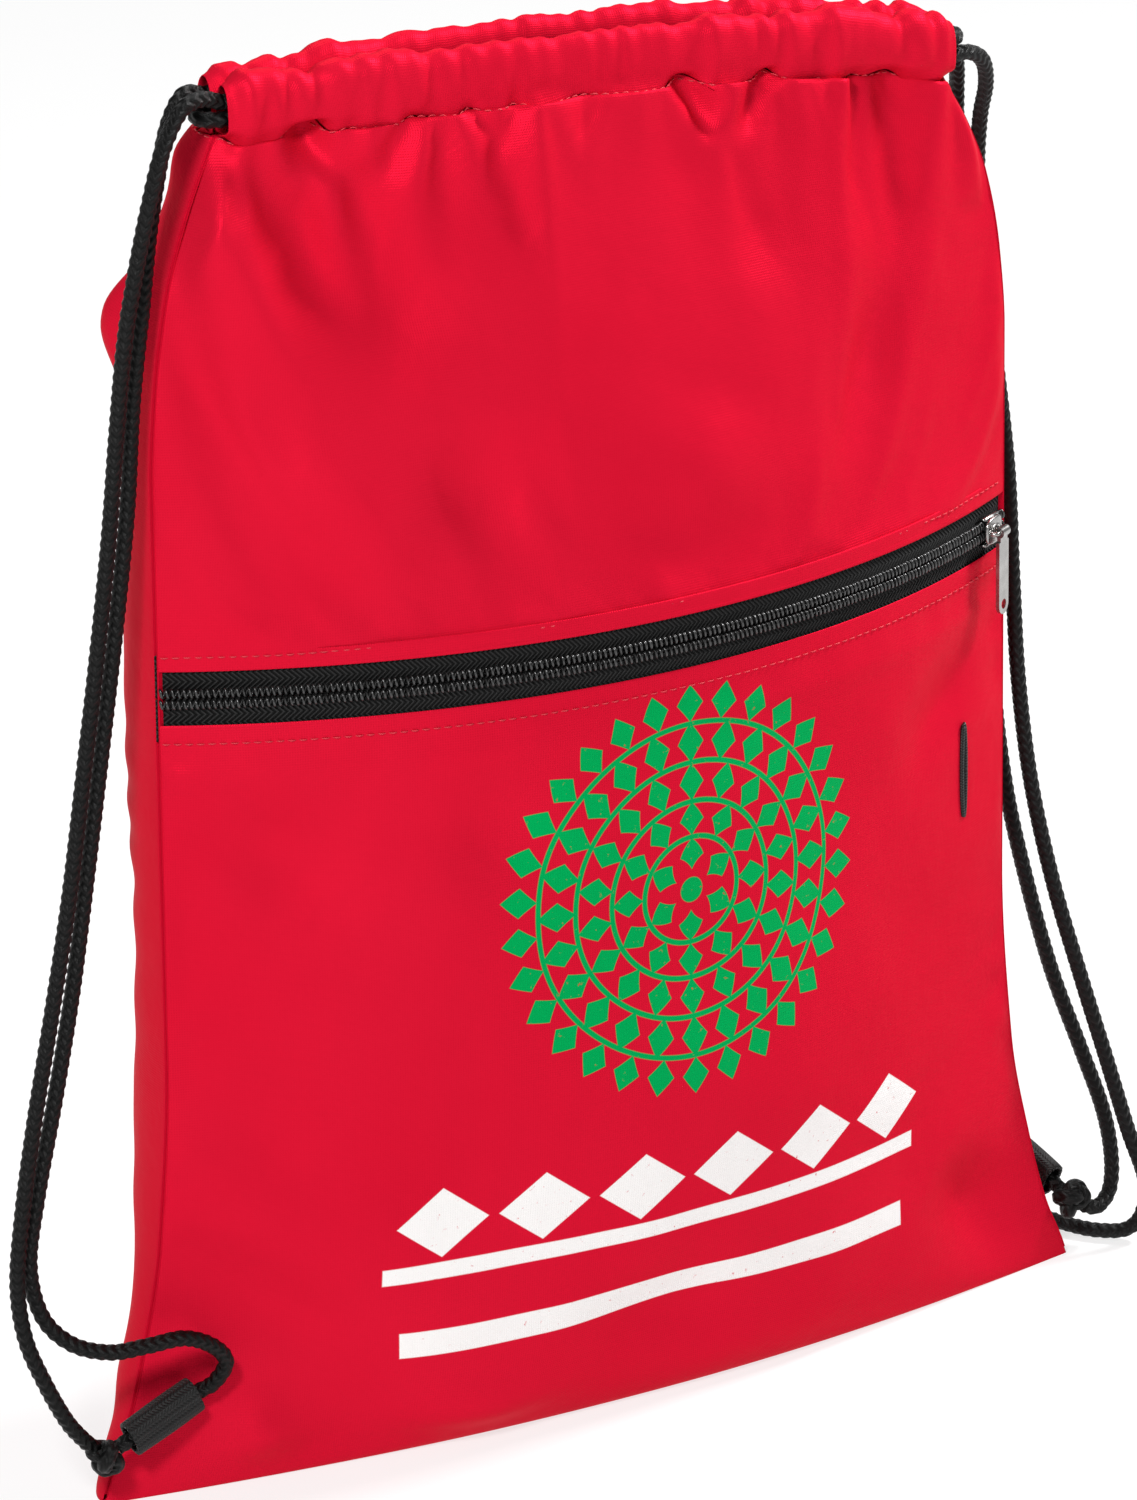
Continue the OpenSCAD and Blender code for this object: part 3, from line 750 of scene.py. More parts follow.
def rim_sink(x):
    """How far the rim lies below its left end."""
    return RIM_DROP * np.clip((x + MOUTH_W) / (2 * MOUTH_W), 0, 1) ** 3


def sink_share(z):
    """Share of the rim's sink at a height above the zipper."""
    return np.clip((z - TAPE_HIGH_Z) / (PANEL_TOP_Z - TAPE_HIGH_Z), 0, 1) ** 2


# The back's sections are rounded rectangles of this power; the front's are arcs
BACK_POWER = 2 / 3


def section(side, w, bulge, u):
    """X and Y of a horizontal section of the front (side -1) or back (side 1) panel."""
    if side < 0:
        r = (w * w + bulge * bulge) / (2 * bulge)
        a = np.arcsin(w / r) * u
        return r * np.sin(a), r - bulge - SEAM_Y - r * np.cos(a)
    s = np.sin(np.pi / 2 * u)
    c = np.maximum(np.cos(np.pi / 2 * u), 0)
    return w * np.sign(s) * np.abs(s) ** BACK_POWER, SEAM_Y + bulge * c**BACK_POWER


def even_section(side, w, bulge, columns):
    """A section with its points at even steps along the cloth, and its length."""
    u = np.linspace(-1, 1, SECTION_STEPS)
    x, y = section(side, w, bulge, u)
    reach = np.concatenate([[0], np.cumsum(np.hypot(np.diff(x), np.diff(y)))])
    places = np.linspace(0, reach[-1], columns)
    return np.interp(places, reach, x), np.interp(places, reach, y), reach[-1]


# How far a channel lies from the mouth's middle line: at its ends, and how much more in the middle
MOUTH_END_Y = 5
MOUTH_MORE_Y = 6


def channel_y(x, side):
    """Y of the middle of a channel."""
    return side * (MOUTH_END_Y + MOUTH_MORE_Y * (1 - (x / MOUTH_W) ** 2))


# Cross-section of a channel, from the stitch line over the rim and down the inner ply:
# (share of half the depth outwards, share of the height)
CHANNEL_LOOP = [
    (0.95, 0.12), (0.95, 0.25), (0.95, 0.4), (0.9, 0.56), (0.8, 0.72), (0.62, 0.87),
    (0.32, 0.98), (-0.1, 1.0), (-0.5, 0.9), (-0.76, 0.72), (-0.84, 0.52), (-0.76, 0.32),
    (-0.45, 0.12),
]

# Distance between the rows of a panel's grid, and number of its columns
CLOTH_SPACING = 3.4
COLUMNS = 110


def channel_row(side, out_share, up_share):
    """One row of a channel's cloth, at a place of its cross-section."""
    x = np.linspace(-MOUTH_W, MOUTH_W, COLUMNS)
    y = channel_y(x, side) + side * out_share * CHANNEL_D / 2
    z = BAG_H - rim_sink(x) - CHANNEL_H * (1 - up_share)
    return np.stack([x, y, z], axis=1)


class Panel:
    """One cloth panel as a grid of points, and how firmly each row of it is held."""

    def __init__(self, name, side, with_channel):
        self.name = name
        self.side = side
        self.with_channel = with_channel
        self.points = []
        self.pin = []
        self.body_rows = 0

    def add_row(self, points, pin):
        self.points.append(points)
        self.pin.append(np.full(COLUMNS, pin))


def build_panel(name, side, z_low, z_high, with_channel):
    """Rows of a panel between two heights, and over the channel if it has one."""
    panel = Panel(name, side, with_channel)
    rows = profile_rows(side, CLOTH_SPACING)
    inside = [r for r in rows if z_low - 1e-6 <= r[0] <= z_high + 1e-6]
    if z_low > 0:
        inside = [edge_row(rows, z_low)] + [r for r in inside if r[0] > z_low + 1]
    inside = [r for r in inside if r[0] < z_high - 1] + [edge_row(rows, z_high)]
    for z, w, bulge, _ in inside:
        x, y, _ = even_section(side, w, bulge, COLUMNS)
        points = np.stack([x, y, z - sink_share(z) * rim_sink(x)], axis=1)
        pinned = z < 0.5 or (z_low > 0 and z == z_low) or (not with_channel and z == z_high)
        panel.add_row(points, 1.0 if pinned else 0.0)
    panel.body_rows = len(panel.points)
    if with_channel:
        panel.pin[-1][:] = 1.0
        for out_share, up_share in CHANNEL_LOOP:
            panel.add_row(channel_row(side, out_share, up_share), 1.0)
    return panel


# Length along the profile beyond which it has left the floor
FLOOR_REACH = 15


def edge_row(rows, z):
    """The row of the profile at exactly this height."""
    wall = rows[rows[:, 3] > FLOOR_REACH]
    return [z] + [float(np.interp(z, wall[:, 0], wall[:, k])) for k in (1, 2, 3)]


# ---------------------------------------------------------------------------
# Cloth simulation
# ---------------------------------------------------------------------------

SIM_FRAMES = 16
# The furthest that the simulation may take a point from its folded start
MOST_MOVE = 6.0

# Folds: the two ends (x, z), the half width at each end, and the height, which is below 0 for a valley
FRONT_FOLDS = [
    (-103, 431, -86, 399, 4, 7, -4.0),
    (-66, 427, -83, 399, 4, 7, -3.5),
    (-84, 402, -66, 340, 8, 16, -3.5),
    (-52, 433, -41, 408, 3, 5, -3.0),
    (-31, 431, -40, 408, 3, 5, -3.0),
    (-40, 410, -30, 366, 6, 12, -2.5),
    (-8, 430, -12, 400, 4, 8, -2.0),
    (24, 423, 40, 397, 4, 7, -3.5),
    (57, 417, 42, 397, 4, 7, -3.5),
    (42, 398, 52, 350, 8, 14, -3.0),
    (90, 410, 82, 355, 5, 13, -3.0),
    (110, 404, 112, 345, 5, 11, -3.0),
    (-124, 436, -138, 414, 4, 6, -4.0),
    (-142, 418, -92, 318, 9, 18, 5.0),
    (-122, 420, -66, 322, 8, 17, -2.6),
    (-120, 345, -66, 272, 14, 20, 2.6),
    (-84, 330, -24, 285, 16, 24, -2.6),
    (108, 350, 66, 285, 12, 20, -2.6),
    (30, 330, 6, 280, 16, 26, 1.8),
]
BACK_FOLDS = [
    (-100, 430, -84, 370, 5, 16, -4.5),
    (-60, 430, -50, 340, 5, 18, -4.5),
    (-18, 430, -24, 370, 5, 14, -4.0),
    (30, 425, 24, 350, 5, 18, -4.5),
    (70, 420, 80, 345, 5, 16, -4.5),
    (108, 405, 100, 330, 6, 16, -4.5),
    (-148, 392, -152, 330, 22, 26, 5.0),
    (-96, 300, 70, 205, 16, 26, -4.5),
    (90, 300, -30, 255, 14, 24, 4.0),
    (-120, 100, 70, 150, 18, 30, -4.5),
    (-60, 60, 110, 40, 14, 22, 3.5),
    (162, 70, 70, 20, 14, 22, -4.0),
    (-165, 70, -80, 24, 14, 22, -4.0),
]
LOWER_FOLDS = [
    (-150, 226, -84, 176, 10, 20, -2.0),
    (-70, 232, -40, 170, 12, 22, -1.6),
    (138, 232, 92, 170, 10, 20, -2.0),
    (-156, 84, -84, 22, 12, 18, -2.4),
    (-146, 30, -112, 2, 8, 12, 2.2),
    (112, 50, 168, 8, 12, 16, -2.6),
    (-150, 150, -90, 70, 14, 26, -2.0),
    (-40, 40, 80, 24, 12, 18, -1.8),
    (-100, 18, -10, 10, 8, 12, 1.6),
]
PANEL_FOLDS = {
    "cloth_front_upper": FRONT_FOLDS,
    "cloth_front_lower": LOWER_FOLDS,
    "cloth_back": BACK_FOLDS,
}

# Where something is sewn to the cloth, so that it stays where it is: x, z, radius and which panel
SEWN_SPOTS = [
    (127.6, 180, 26, "cloth_front_lower"),
    (-160, 30, 30, "cloth_front_lower"),
    (172, 28, 26, "cloth_back"),
]

# Folds that start above this height start at full depth, at the stitch line, and have their own gain
STITCHED_Z = 395
STITCHED_GAIN = 1.8
FOLD_GAIN = 2.7
# Shares of a fold's length over which it rises and over which it fades
FOLD_RISE = 0.4
FOLD_FADE = 0.5


def fold_height(folds, x, z):
    """Sum of the folds, each a rounded ridge or valley that widens and fades along its length."""
    height = np.zeros_like(x)
    for x1, z1, x2, z2, w1, w2, size in folds:
        length = math.hypot(x2 - x1, z2 - z1)
        along = ((x - x1) * (x2 - x1) + (z - z1) * (z2 - z1)) / length**2
        t = np.clip(along, 0, 1)
        off = np.hypot(x - x1 - t * (x2 - x1), z - z1 - t * (z2 - z1))
        width = w1 + (w2 - w1) * t
        start = 1.0 if z1 > STITCHED_Z else np.clip(t / FOLD_RISE, 0, 1)
        fade = (1 - 0.3 * t) * np.clip((1 - t) / FOLD_FADE, 0, 1) * start
        fade = fade * fade * (3 - 2 * fade)
        gain = STITCHED_GAIN if z1 > STITCHED_Z else FOLD_GAIN
        height += gain * size * np.exp(-((off / width) ** 2)) * fade
    return height


def gather_share(x):
    """The cords gather the cloth most near the two ends of the mouth."""
    return 0.3 + 0.7 * np.clip((np.abs(x + 10) - 20) / 70, 0, 1)


# Pitch, phase, height and reach below the stitch line of each set of pleats
PLEATS = (
    (41.0, 0.4, 2.4, 60.0),
    (23.0, 2.1, 1.7, 34.0),
    (14.5, 4.0, 1.1, 20.0),
    (9.3, 1.2, 0.6, 12.0),
)
PUFF_PITCH = 15.5
PUFF_HEIGHT = 4.0


def gathers(side, x, below):
    """Pleats that start at the stitch line and fade within a few centimetres below it."""
    height = np.zeros_like(x)
    for pitch, phase, size, reach in PLEATS:
        drift = 0.9 * np.sin(x / 37.0 + phase + side)
        fade = np.exp(-((below / reach) ** 2))
        height += size * np.cos(2 * math.pi * x / pitch + phase + drift + side) * fade
    return height * gather_share(x)


def puffs(x, loop, side):
    """Rounded puffs between sharp creases, where the cords gather the channel; most at its ends."""
    phase = x / PUFF_PITCH + 0.7 * np.sin(x / 27.0 + side) + 0.45 * np.sin(x / 9.0) + 0.5 * loop
    return PUFF_HEIGHT * np.abs(np.sin(math.pi * phase)) ** 0.55 * gather_share(x)


def channel_folds(side, x, loop):
    """How far the gathered channel's cloth stands out, and how far it rises."""
    ends = np.clip((MOUTH_W - np.abs(x)) / 6.0, 0.3, 1)
    pleats = gathers(side, x, 0 * x) * (0.75 - 0.4 * loop) * ends
    pleats += 0.7 * np.cos(x / 1.25 + 2.4 * np.sin(x / 17.0) + 1.5 * loop) * ends
    height = np.where(pleats < 0, 0.15 * pleats, pleats * 0.6)
    height += puffs(x, loop, side) * ends * np.sin(math.pi * (0.02 + 0.9 * loop))
    rise = 0.45 * pleats * np.sin(math.pi * loop) - 0.4 * np.sin(math.pi * loop)
    return height, rise


def slow_noise(x, z, seed, size):
    """Smooth noise over a grid, whose lumps are about this size."""
    values = [noise.noise(Vector((a / size, b / size, seed))) for a, b in zip(x.ravel(), z.ravel())]
    return np.array(values).reshape(x.shape)


# How far the gathered cloth billows out just below the channel, and how far down that reaches
BILLOW = 6.0
BILLOW_REACH = 55.0
# Share of the billow that the stitch line itself has, so that the channel sits flush above it
STITCH_SHARE = 0.92
# Distance from the zipper's tape to the edge of the facing inside the pocket, which shows as a ridge
FACING_EDGE = 17
TAPE_HALF_H = (TAPE_HIGH_Z - TAPE_LOW_Z) / 2


def edge_distance(x):
    """Distance of each point of a grid from the side seam of its row."""
    across = np.abs(x)
    return across.max(axis=1, keepdims=True) - across


def seam_puckers(x, z, panel):
    """Small puckers along the side seams and beside the zipper."""
    edge = edge_distance(x)
    wander = 1.6 * np.sin(z / 17.0) + 1.1 * np.sin(z / 41.0 + 1.0)
    size = 0.4 + 0.35 * np.sin(z / 29.0 + panel.side)
    height = size * np.cos(z / 3.4 + wander) * np.exp(-((edge / 10.0) ** 2))
    if panel.side < 0:
        gap = np.abs(z - ZIP_Z) - TAPE_HALF_H
        fade = np.exp(-(((gap - 6) / 6.0) ** 2))
        height += 0.5 * np.cos(x / 2.6 + 1.9 * np.sin(x / 19.0)) * fade
        if panel.name == "cloth_front_lower":
            height += 0.8 * np.exp(-(((gap - FACING_EDGE) / 1.8) ** 2))
    return height


def folded_height(panel, points):
    """How far each point of the panel stands out from the smooth, stuffed shape."""
    x = points[:, :, 0]
    z = points[:, :, 2]
    stitch_z = BAG_H - CHANNEL_H - rim_sink(x)
    below = np.maximum(stitch_z - z, 0)
    height = fold_height(PANEL_FOLDS[panel.name], x, z)
    rise = STITCH_SHARE + (1 - STITCH_SHARE) * (1 - np.exp(-below / 3.0))
    height += BILLOW * rise * np.exp(-((below / BILLOW_REACH) ** 2))
    height += slow_noise(x, z, 3.0 * panel.side, 70.0) * 3.0
    height += slow_noise(x, z, 9.0 + panel.side, 28.0) * 0.8
    height += seam_puckers(x, z, panel)
    if panel.with_channel:
        height += gathers(panel.side, x, below)
    return height


# Over how far the folds grow from nothing: from a side seam, from the floor, and from near the tape
SEAM_FADE = 5.0
FLOOR_FADE = 12.0
TAPE_FADE = 8.0
TAPE_STILL = 4.0


def edge_fade(points, panel):
    """0 at the seams, the tape and the floor, and 1 away from them."""
    x = points[:, :, 0]
    z = points[:, :, 2]
    fade = np.clip(edge_distance(x) / SEAM_FADE, 0, 1)
    if panel.side < 0:
        gap = np.abs(z - ZIP_Z) - TAPE_HALF_H
        fade *= np.clip((gap - TAPE_STILL) / TAPE_FADE, 0, 1)
    fade *= np.clip(z / FLOOR_FADE, 0, 1)
    for spot_x, spot_z, radius, name in SEWN_SPOTS:
        if name == panel.name:
            off = np.hypot(x - spot_x, z - spot_z) / radius
            fade *= np.clip(off * 1.6 - 0.6, 0, 1)
    return fade


def outward(points, side):
    """Unit normals of a grid of points, out of the bag."""
    across = np.gradient(points, axis=1)
    up = np.gradient(points, axis=0)
    normal = np.cross(across, up)
    normal /= np.linalg.norm(normal, axis=2, keepdims=True) + 1e-9
    return normal if side < 0 else -normal


SPARE_ACROSS = 1.03
SPARE_ALONG = 1.02


def cut_size(points):
    """Flat lengths of the cloth: those of the folded start shape, and a little to spare."""
    across_steps = np.linalg.norm(np.diff(points, axis=1), axis=2) * SPARE_ACROSS
    along_steps = np.linalg.norm(np.diff(points, axis=0), axis=2).mean(axis=1) * SPARE_ALONG
    flat = np.zeros(points.shape[:2] + (2,))
    flat[:, 1:, 0] = np.cumsum(across_steps, axis=1)
    flat[:, :, 0] -= flat[:, -1:, 0] / 2
    flat[1:, :, 1] = np.cumsum(along_steps)[:, None]
    return flat


def cloth_object(panel):
    """The panel's folded start shape as a mesh, with its flat size as the rest shape."""
    points = np.array(panel.points)
    pin = np.array(panel.pin)
    rows, columns = pin.shape
    fade = edge_fade(points, panel)
    body = panel.body_rows
    fade[body:] = 1
    pin = np.maximum(pin, (fade <= 0.01) * 1.0)
    height = folded_height(panel, points) * fade
    if panel.with_channel:
        loop = np.linspace(0, 1, rows - body)[:, None]
        height[body:], rise = channel_folds(panel.side, points[body:, :, 0], loop)
    start = points + outward(points, panel.side) * height[:, :, None]
    if panel.with_channel:
        start[body:, :, 2] += rise
    flat = cut_size(start)
    faces = grid_faces(rows, columns, flipped=panel.side > 0)
    mesh = bpy.data.meshes.new(panel.name)
    mesh.from_pydata([tuple(v) for v in start.reshape(-1, 3) * MM], [], faces)
    mesh.update()
    piece = bpy.data.objects.new(panel.name, mesh)
    bpy.context.collection.objects.link(piece)
    piece.shape_key_add(name="Basis")
    rest = piece.shape_key_add(name="cut_flat")
    flat_points = np.zeros((rows * columns, 3))
    flat_points[:, :2] = flat.reshape(-1, 2) * MM
    rest.data.foreach_set("co", flat_points.astype(np.float32).ravel())
    group = piece.vertex_groups.new(name="pin")
    for index, weight in enumerate(pin.ravel()):
        if weight > 0:
            group.add([index], float(weight), "REPLACE")
    return piece, start, flat


# A light, limp cloth, damped so that it settles within the few frames
CLOTH_SETTINGS = {
    "quality": 6,
    "mass": 0.25,
    "air_damping": 2.0,
    "tension_stiffness": 25,
    "compression_stiffness": 25,
    "shear_stiffness": 8,
    "bending_stiffness": 0.6,
    "tension_damping": 8,
    "compression_damping": 8,
    "shear_damping": 8,
    "bending_damping": 0.5,
    "vertex_group_mass": "pin",
    "pin_stiffness": 1.5,
}
CLOTH_GRAVITY = 0.2


def add_cloth(piece):
    modifier = piece.modifiers.new("cloth", "CLOTH")
    for key, value in CLOTH_SETTINGS.items():
        setattr(modifier.settings, key, value)
    modifier.settings.rest_shape_key = piece.data.shape_keys.key_blocks["cut_flat"]
    modifier.settings.effector_weights.gravity = CLOTH_GRAVITY
    modifier.collision_settings.use_collision = False
    modifier.point_cache.frame_start = 1
    modifier.point_cache.frame_end = SIM_FRAMES


def simulate(pieces):
    """Runs the cloth of all pieces together, and returns their settled points in millimetres."""
    scene = bpy.context.scene
    for piece in pieces:
        add_cloth(piece)
    for frame_number in range(1, SIM_FRAMES + 1):
        scene.frame_set(frame_number)
    graph = bpy.context.evaluated_depsgraph_get()
    results = []
    for piece in pieces:
        shown = piece.evaluated_get(graph).data
        out = np.empty(len(shown.vertices) * 3)
        shown.vertices.foreach_get("co", out)
        results.append(out.reshape(-1, 3) / MM)
    scene.frame_set(1)
    return results


# How far the channel's cloth keeps off the middle of a cord
CORD_CLEAR = CORD_D / 2 + 1.0
# How far the channel's sewn inner edge lies behind the stitch line
CHANNEL_PLY = 0.9


def push_off_cords(panel, grid):
    """Keeps the channel's cloth outside the two cords that run in it."""
    body = panel.body_rows
    part = grid[body:]
    x = part[:, :, 0]
    side_y = channel_y(np.clip(x, -MOUTH_W, MOUTH_W), panel.side)
    base_z = BAG_H - rim_sink(x) - CHANNEL_H
    for lift in CORD_LIFTS:
        dy = part[:, :, 1] - side_y
        dz = part[:, :, 2] - (base_z + lift)
        off = np.hypot(dy, dz)
        push = np.maximum(CORD_CLEAR / np.maximum(off, 0.05), 1.0)
        part[:, :, 1] = side_y + dy * push
        part[:, :, 2] = base_z + lift + dz * push
    return grid


def close_channel(panel, grid):
    """Brings the channel's inner edge back to the stitch line, where it is sewn to the panel."""
    row = panel.body_rows - 1
    sewn = grid[row] - CHANNEL_PLY * outward(grid, panel.side)[row]
    step = grid[-2] - grid[-1]
    grid[-1] = sewn
    grid[-2] = 0.5 * grid[-2] + 0.5 * (sewn + step)
    return grid


def make_bag_cloth():
    """Simulates the three cloth panels together and returns their settled grids."""
    panels = [
        build_panel("cloth_front_lower", -1, 0.0, TAPE_LOW_Z, False),
        build_panel("cloth_front_upper", -1, TAPE_HIGH_Z, PANEL_TOP_Z, True),
        build_panel("cloth_back", 1, 0.0, PANEL_TOP_Z, True),
    ]
    made = [cloth_object(panel) for panel in panels]
    results = simulate([piece for piece, _, _ in made])
    settled = {}
    for panel, (piece, start, flat), result in zip(panels, made, results):
        target = start.reshape(-1, 3)
        move = result - target
        size = np.linalg.norm(move, axis=1, keepdims=True)
        limit = MOST_MOVE * np.tanh(size / MOST_MOVE)
        result = target + move * limit / np.maximum(size, 1e-9)
        result[:, 2] = np.maximum(result[:, 2], 0.0)
        grid = result.reshape(start.shape)
        if panel.with_channel:
            grid = push_off_cords(panel, close_channel(panel, grid))
        settled[panel.name] = (panel, grid, flat)
        bpy.data.objects.remove(piece, do_unlink=True)
    return settled


CLOTH_T = 0.0004


def cloth_piece(name, grid, flat, side, material):
    """A settled grid as a sheet of cloth, whose UVs are its flat lengths."""
    faces = grid_faces(*grid.shape[:2], flipped=side > 0)
    piece = new_object(name, grid.reshape(-1, 3), faces, material, uvs=flat.reshape(-1, 2) * MM)
    add_thickness(piece, CLOTH_T, -1)
    add_subdivision(piece)
    return piece


# ---------------------------------------------------------------------------
# Places on the settled cloth
# ---------------------------------------------------------------------------


def along_row(grid, row):
    """The points of one row of a grid, where the row may lie between two."""
    low = int(math.floor(row))
    t = row - low
    return grid[low] * (1 - t) + grid[min(low + 1, len(grid) - 1)] * t


def row_at_height(grid, z):
    heights = grid[:, :, 2].mean(axis=1)
    return float(np.interp(z, heights, np.arange(len(heights))))


def row_normals(grid, row, side):
    return along_row(outward(grid, side), row)


STITCH_L = 2.5
STITCH_GAP = 0.9
STITCH_R = 0.24
STITCH_ARCH = 0.45
# How deep the ends of a stitch lie in the cloth
STITCH_DIVE = 0.05
STITCH_SIDES = 6
STITCH_RINGS = 7


def stitch_line(name, node, path, normals):
    """Stitches along a path: rounded lengths of thread that dive into the cloth at both ends."""
    reach = lengths_along(path)
    count = int((reach[-1] - STITCH_GAP) / (STITCH_L + STITCH_GAP))
    arch = np.sin(np.linspace(0, math.pi, STITCH_RINGS))
    vertices = []
    faces = []
    for k in range(count):
        start = STITCH_GAP + k * (STITCH_L + STITCH_GAP)
        places = np.linspace(start, start + STITCH_L, STITCH_RINGS)
        line = np.stack([np.interp(places, reach, path[:, i]) for i in range(3)], axis=1)
        out = unit(np.stack([np.interp(places, reach, normals[:, i]) for i in range(3)], axis=1))
        line = line + out * (arch * STITCH_ARCH - STITCH_DIVE)[:, None]
        across = np.cross(unit(np.gradient(line, axis=0)), out)
        faces += ring_faces(STITCH_RINGS, STITCH_SIDES, len(vertices))
        for i in range(STITCH_RINGS):
            r = STITCH_R * (0.45 + 0.55 * arch[i])
            for j in range(STITCH_SIDES):
                turn = 2 * math.pi * j / STITCH_SIDES
                vertices.append(line[i] + r * (math.cos(turn) * across[i] + math.sin(turn) * out[i]))
    stands_for(new_object(name, vertices, faces, THREAD), node)


# ---------------------------------------------------------------------------
# Materials, once each
# ---------------------------------------------------------------------------

CORD = cord_material()
WEBBING = webbing_material()
SLIT_BINDING = slit_material()
TAPE = tape_material()
NYLON = nylon_material()
NICKEL = nickel_material()
THREAD = thread_material()
CLOTH = red_cloth("red_polyester")
CLOTH_PRINTED = red_cloth("red_polyester_printed", printed=True)
CLOTH_SHADED_INSIDE = red_cloth("red_polyester_shaded_inside", inside=True)

# ---------------------------------------------------------------------------
# Cords, knots and corner tabs
# ---------------------------------------------------------------------------

BRAID_SIDES = 20
# How far the grooves of the braid lie inside the cord's surface, and how high its strands stand
BRAID_SINK = 0.28
BRAID_RISE = 0.34
CORD_STEP = 0.55
RUN_STEP = 1.0
KNOT_STEP = 0.5
RUN_POINTS = 14
RUN_INSET = 0.3


def braid_piece(name, node, path):
    """A length of round braid with its strands standing up from the surface."""

    def radius_at(reach, turn):
        return CORD_D / 2 - BRAID_SINK + BRAID_RISE * braid_height(reach * MM, turn / (2 * math.pi))

    vertices, faces, uvs = tube_mesh(path, CORD_D / 2, BRAID_SIDES, radius_at)
    piece = new_object(name, vertices, faces, CORD, uvs=uvs)
    stands_for(piece, node)
    return piece


def make_cords():
    for name, route in CORD_ROUTES.items():
        path = smooth_path(route, CORD_STEP)
        piece = braid_piece("braid_" + name, name, path)


def run_route(side, lift):
    """A cord inside both channels: along the front, round the far end, and back."""

    def height(x):
        return BAG_H - float(rim_sink(x)) - CHANNEL_H + lift

    far = -side * MOUTH_W
    places = [side * (MOUTH_W - RUN_INSET) * (1 - 2 * i / RUN_POINTS) for i in range(RUN_POINTS + 1)]
    front = [(x, float(channel_y(x, -1)), height(x)) for x in places]
    back = [(x, float(channel_y(x, 1)), height(x)) for x in places]
    turn = [
        (far - side * MOUTH_END_Y * math.sin(a), -MOUTH_END_Y * math.cos(a), height(far))
        for a in (math.pi * k / 6 for k in range(1, 6))
    ]
    return front + turn + back[::-1]


def make_cord_runs():
    for name, side, lift in (("left", -1, CORD_LIFTS[1]), ("right", 1, CORD_LIFTS[0])):
        path = smooth_path(run_route(side, lift), RUN_STEP)
        braid_piece("braid_cord_run_" + name, "cord_run_" + name, path)


TAB_MID = {"left": (-163, -11.4, 29.4), "right": (175.5, 19, 27)}
TAB_SLOPE = 23
TAB_TURN_RIGHT = 101.5
TAB_HALF_L = 12.5
TAB_W = 8
TAB_H = 12
TAB_WALL = 1.3
TAB_SIDES = 120
TAB_RIBS = 20
# Width of a rib round the tab in its material, and height of a rib in its mesh, in millimetres
RIB_WIDTH = 1.6
RIB_HEIGHT = 0.09
KNOT_OFFSET = -21.9
KNOT_POINTS = 96
# Half length of a knot along the cord, and the size of its loops across it
KNOT_HALF_L = 2.2
KNOT_LOOP = 1.45


def tab_place(side):
    """Turn and place of a corner tab, in millimetres."""
    place = Matrix.Translation(Vector(TAB_MID[side]))
    if side == "right":
        place = place @ Matrix.Rotation(math.radians(TAB_TURN_RIGHT), 4, "Z")
    return place @ Matrix.Rotation(math.radians(-TAB_SLOPE), 4, "Y")


def make_knots():
    """Each knot is the end of the cord, turned through itself three times."""
    for side in TAB_MID:
        place = tab_place(side) @ Matrix.Translation((KNOT_OFFSET, 0, 0))
        path = []
        for k in range(KNOT_POINTS):
            t = 2 * math.pi * k / KNOT_POINTS
            point = (
                KNOT_HALF_L * math.sin(3 * t),
                KNOT_LOOP * (math.sin(t) + 2 * math.sin(2 * t)),
                KNOT_LOOP * (math.cos(t) - 2 * math.cos(2 * t)),
            )
            path.append(tuple(place @ Vector(point)))
        path.append(path[0])
        braid_piece("knot_cord_" + side, "knot_" + side, smooth_path(path, KNOT_STEP))


def stadium(width, height, count):
    """Points and outward directions at even steps round a tall slot shape."""
    r = width / 2
    straight = height - width
    cap = math.pi * r
    found = []
    for k in range(count):
        s = k / count * (2 * straight + 2 * cap)
        if s < cap:
            a = s / r
            found.append((r * math.cos(a), straight / 2 + r * math.sin(a), math.cos(a), math.sin(a)))
        elif s < cap + straight:
            found.append((-r, straight / 2 - (s - cap), -1.0, 0.0))
        elif s < 2 * cap + straight:
            a = math.pi + (s - cap - straight) / r
            found.append((r * math.cos(a), r * math.sin(a) - straight / 2, math.cos(a), math.sin(a)))
        else:
            found.append((r, (s - 2 * cap - straight) - straight / 2, 1.0, 0.0))
    return found


def tab_stops():
    """Places along a tab, and how thick its wall is there: rounded off at both ends."""
    end = [
        (TAB_HALF_L - 0.5, TAB_WALL),
        (TAB_HALF_L - 0.15, TAB_WALL - 0.12),
        (TAB_HALF_L, TAB_WALL - 0.5),
    ]
    middle = [(x, TAB_WALL) for x in np.linspace(-11, 11, 23)]
    return [(-x, thick) for x, thick in end[::-1]] + middle + end


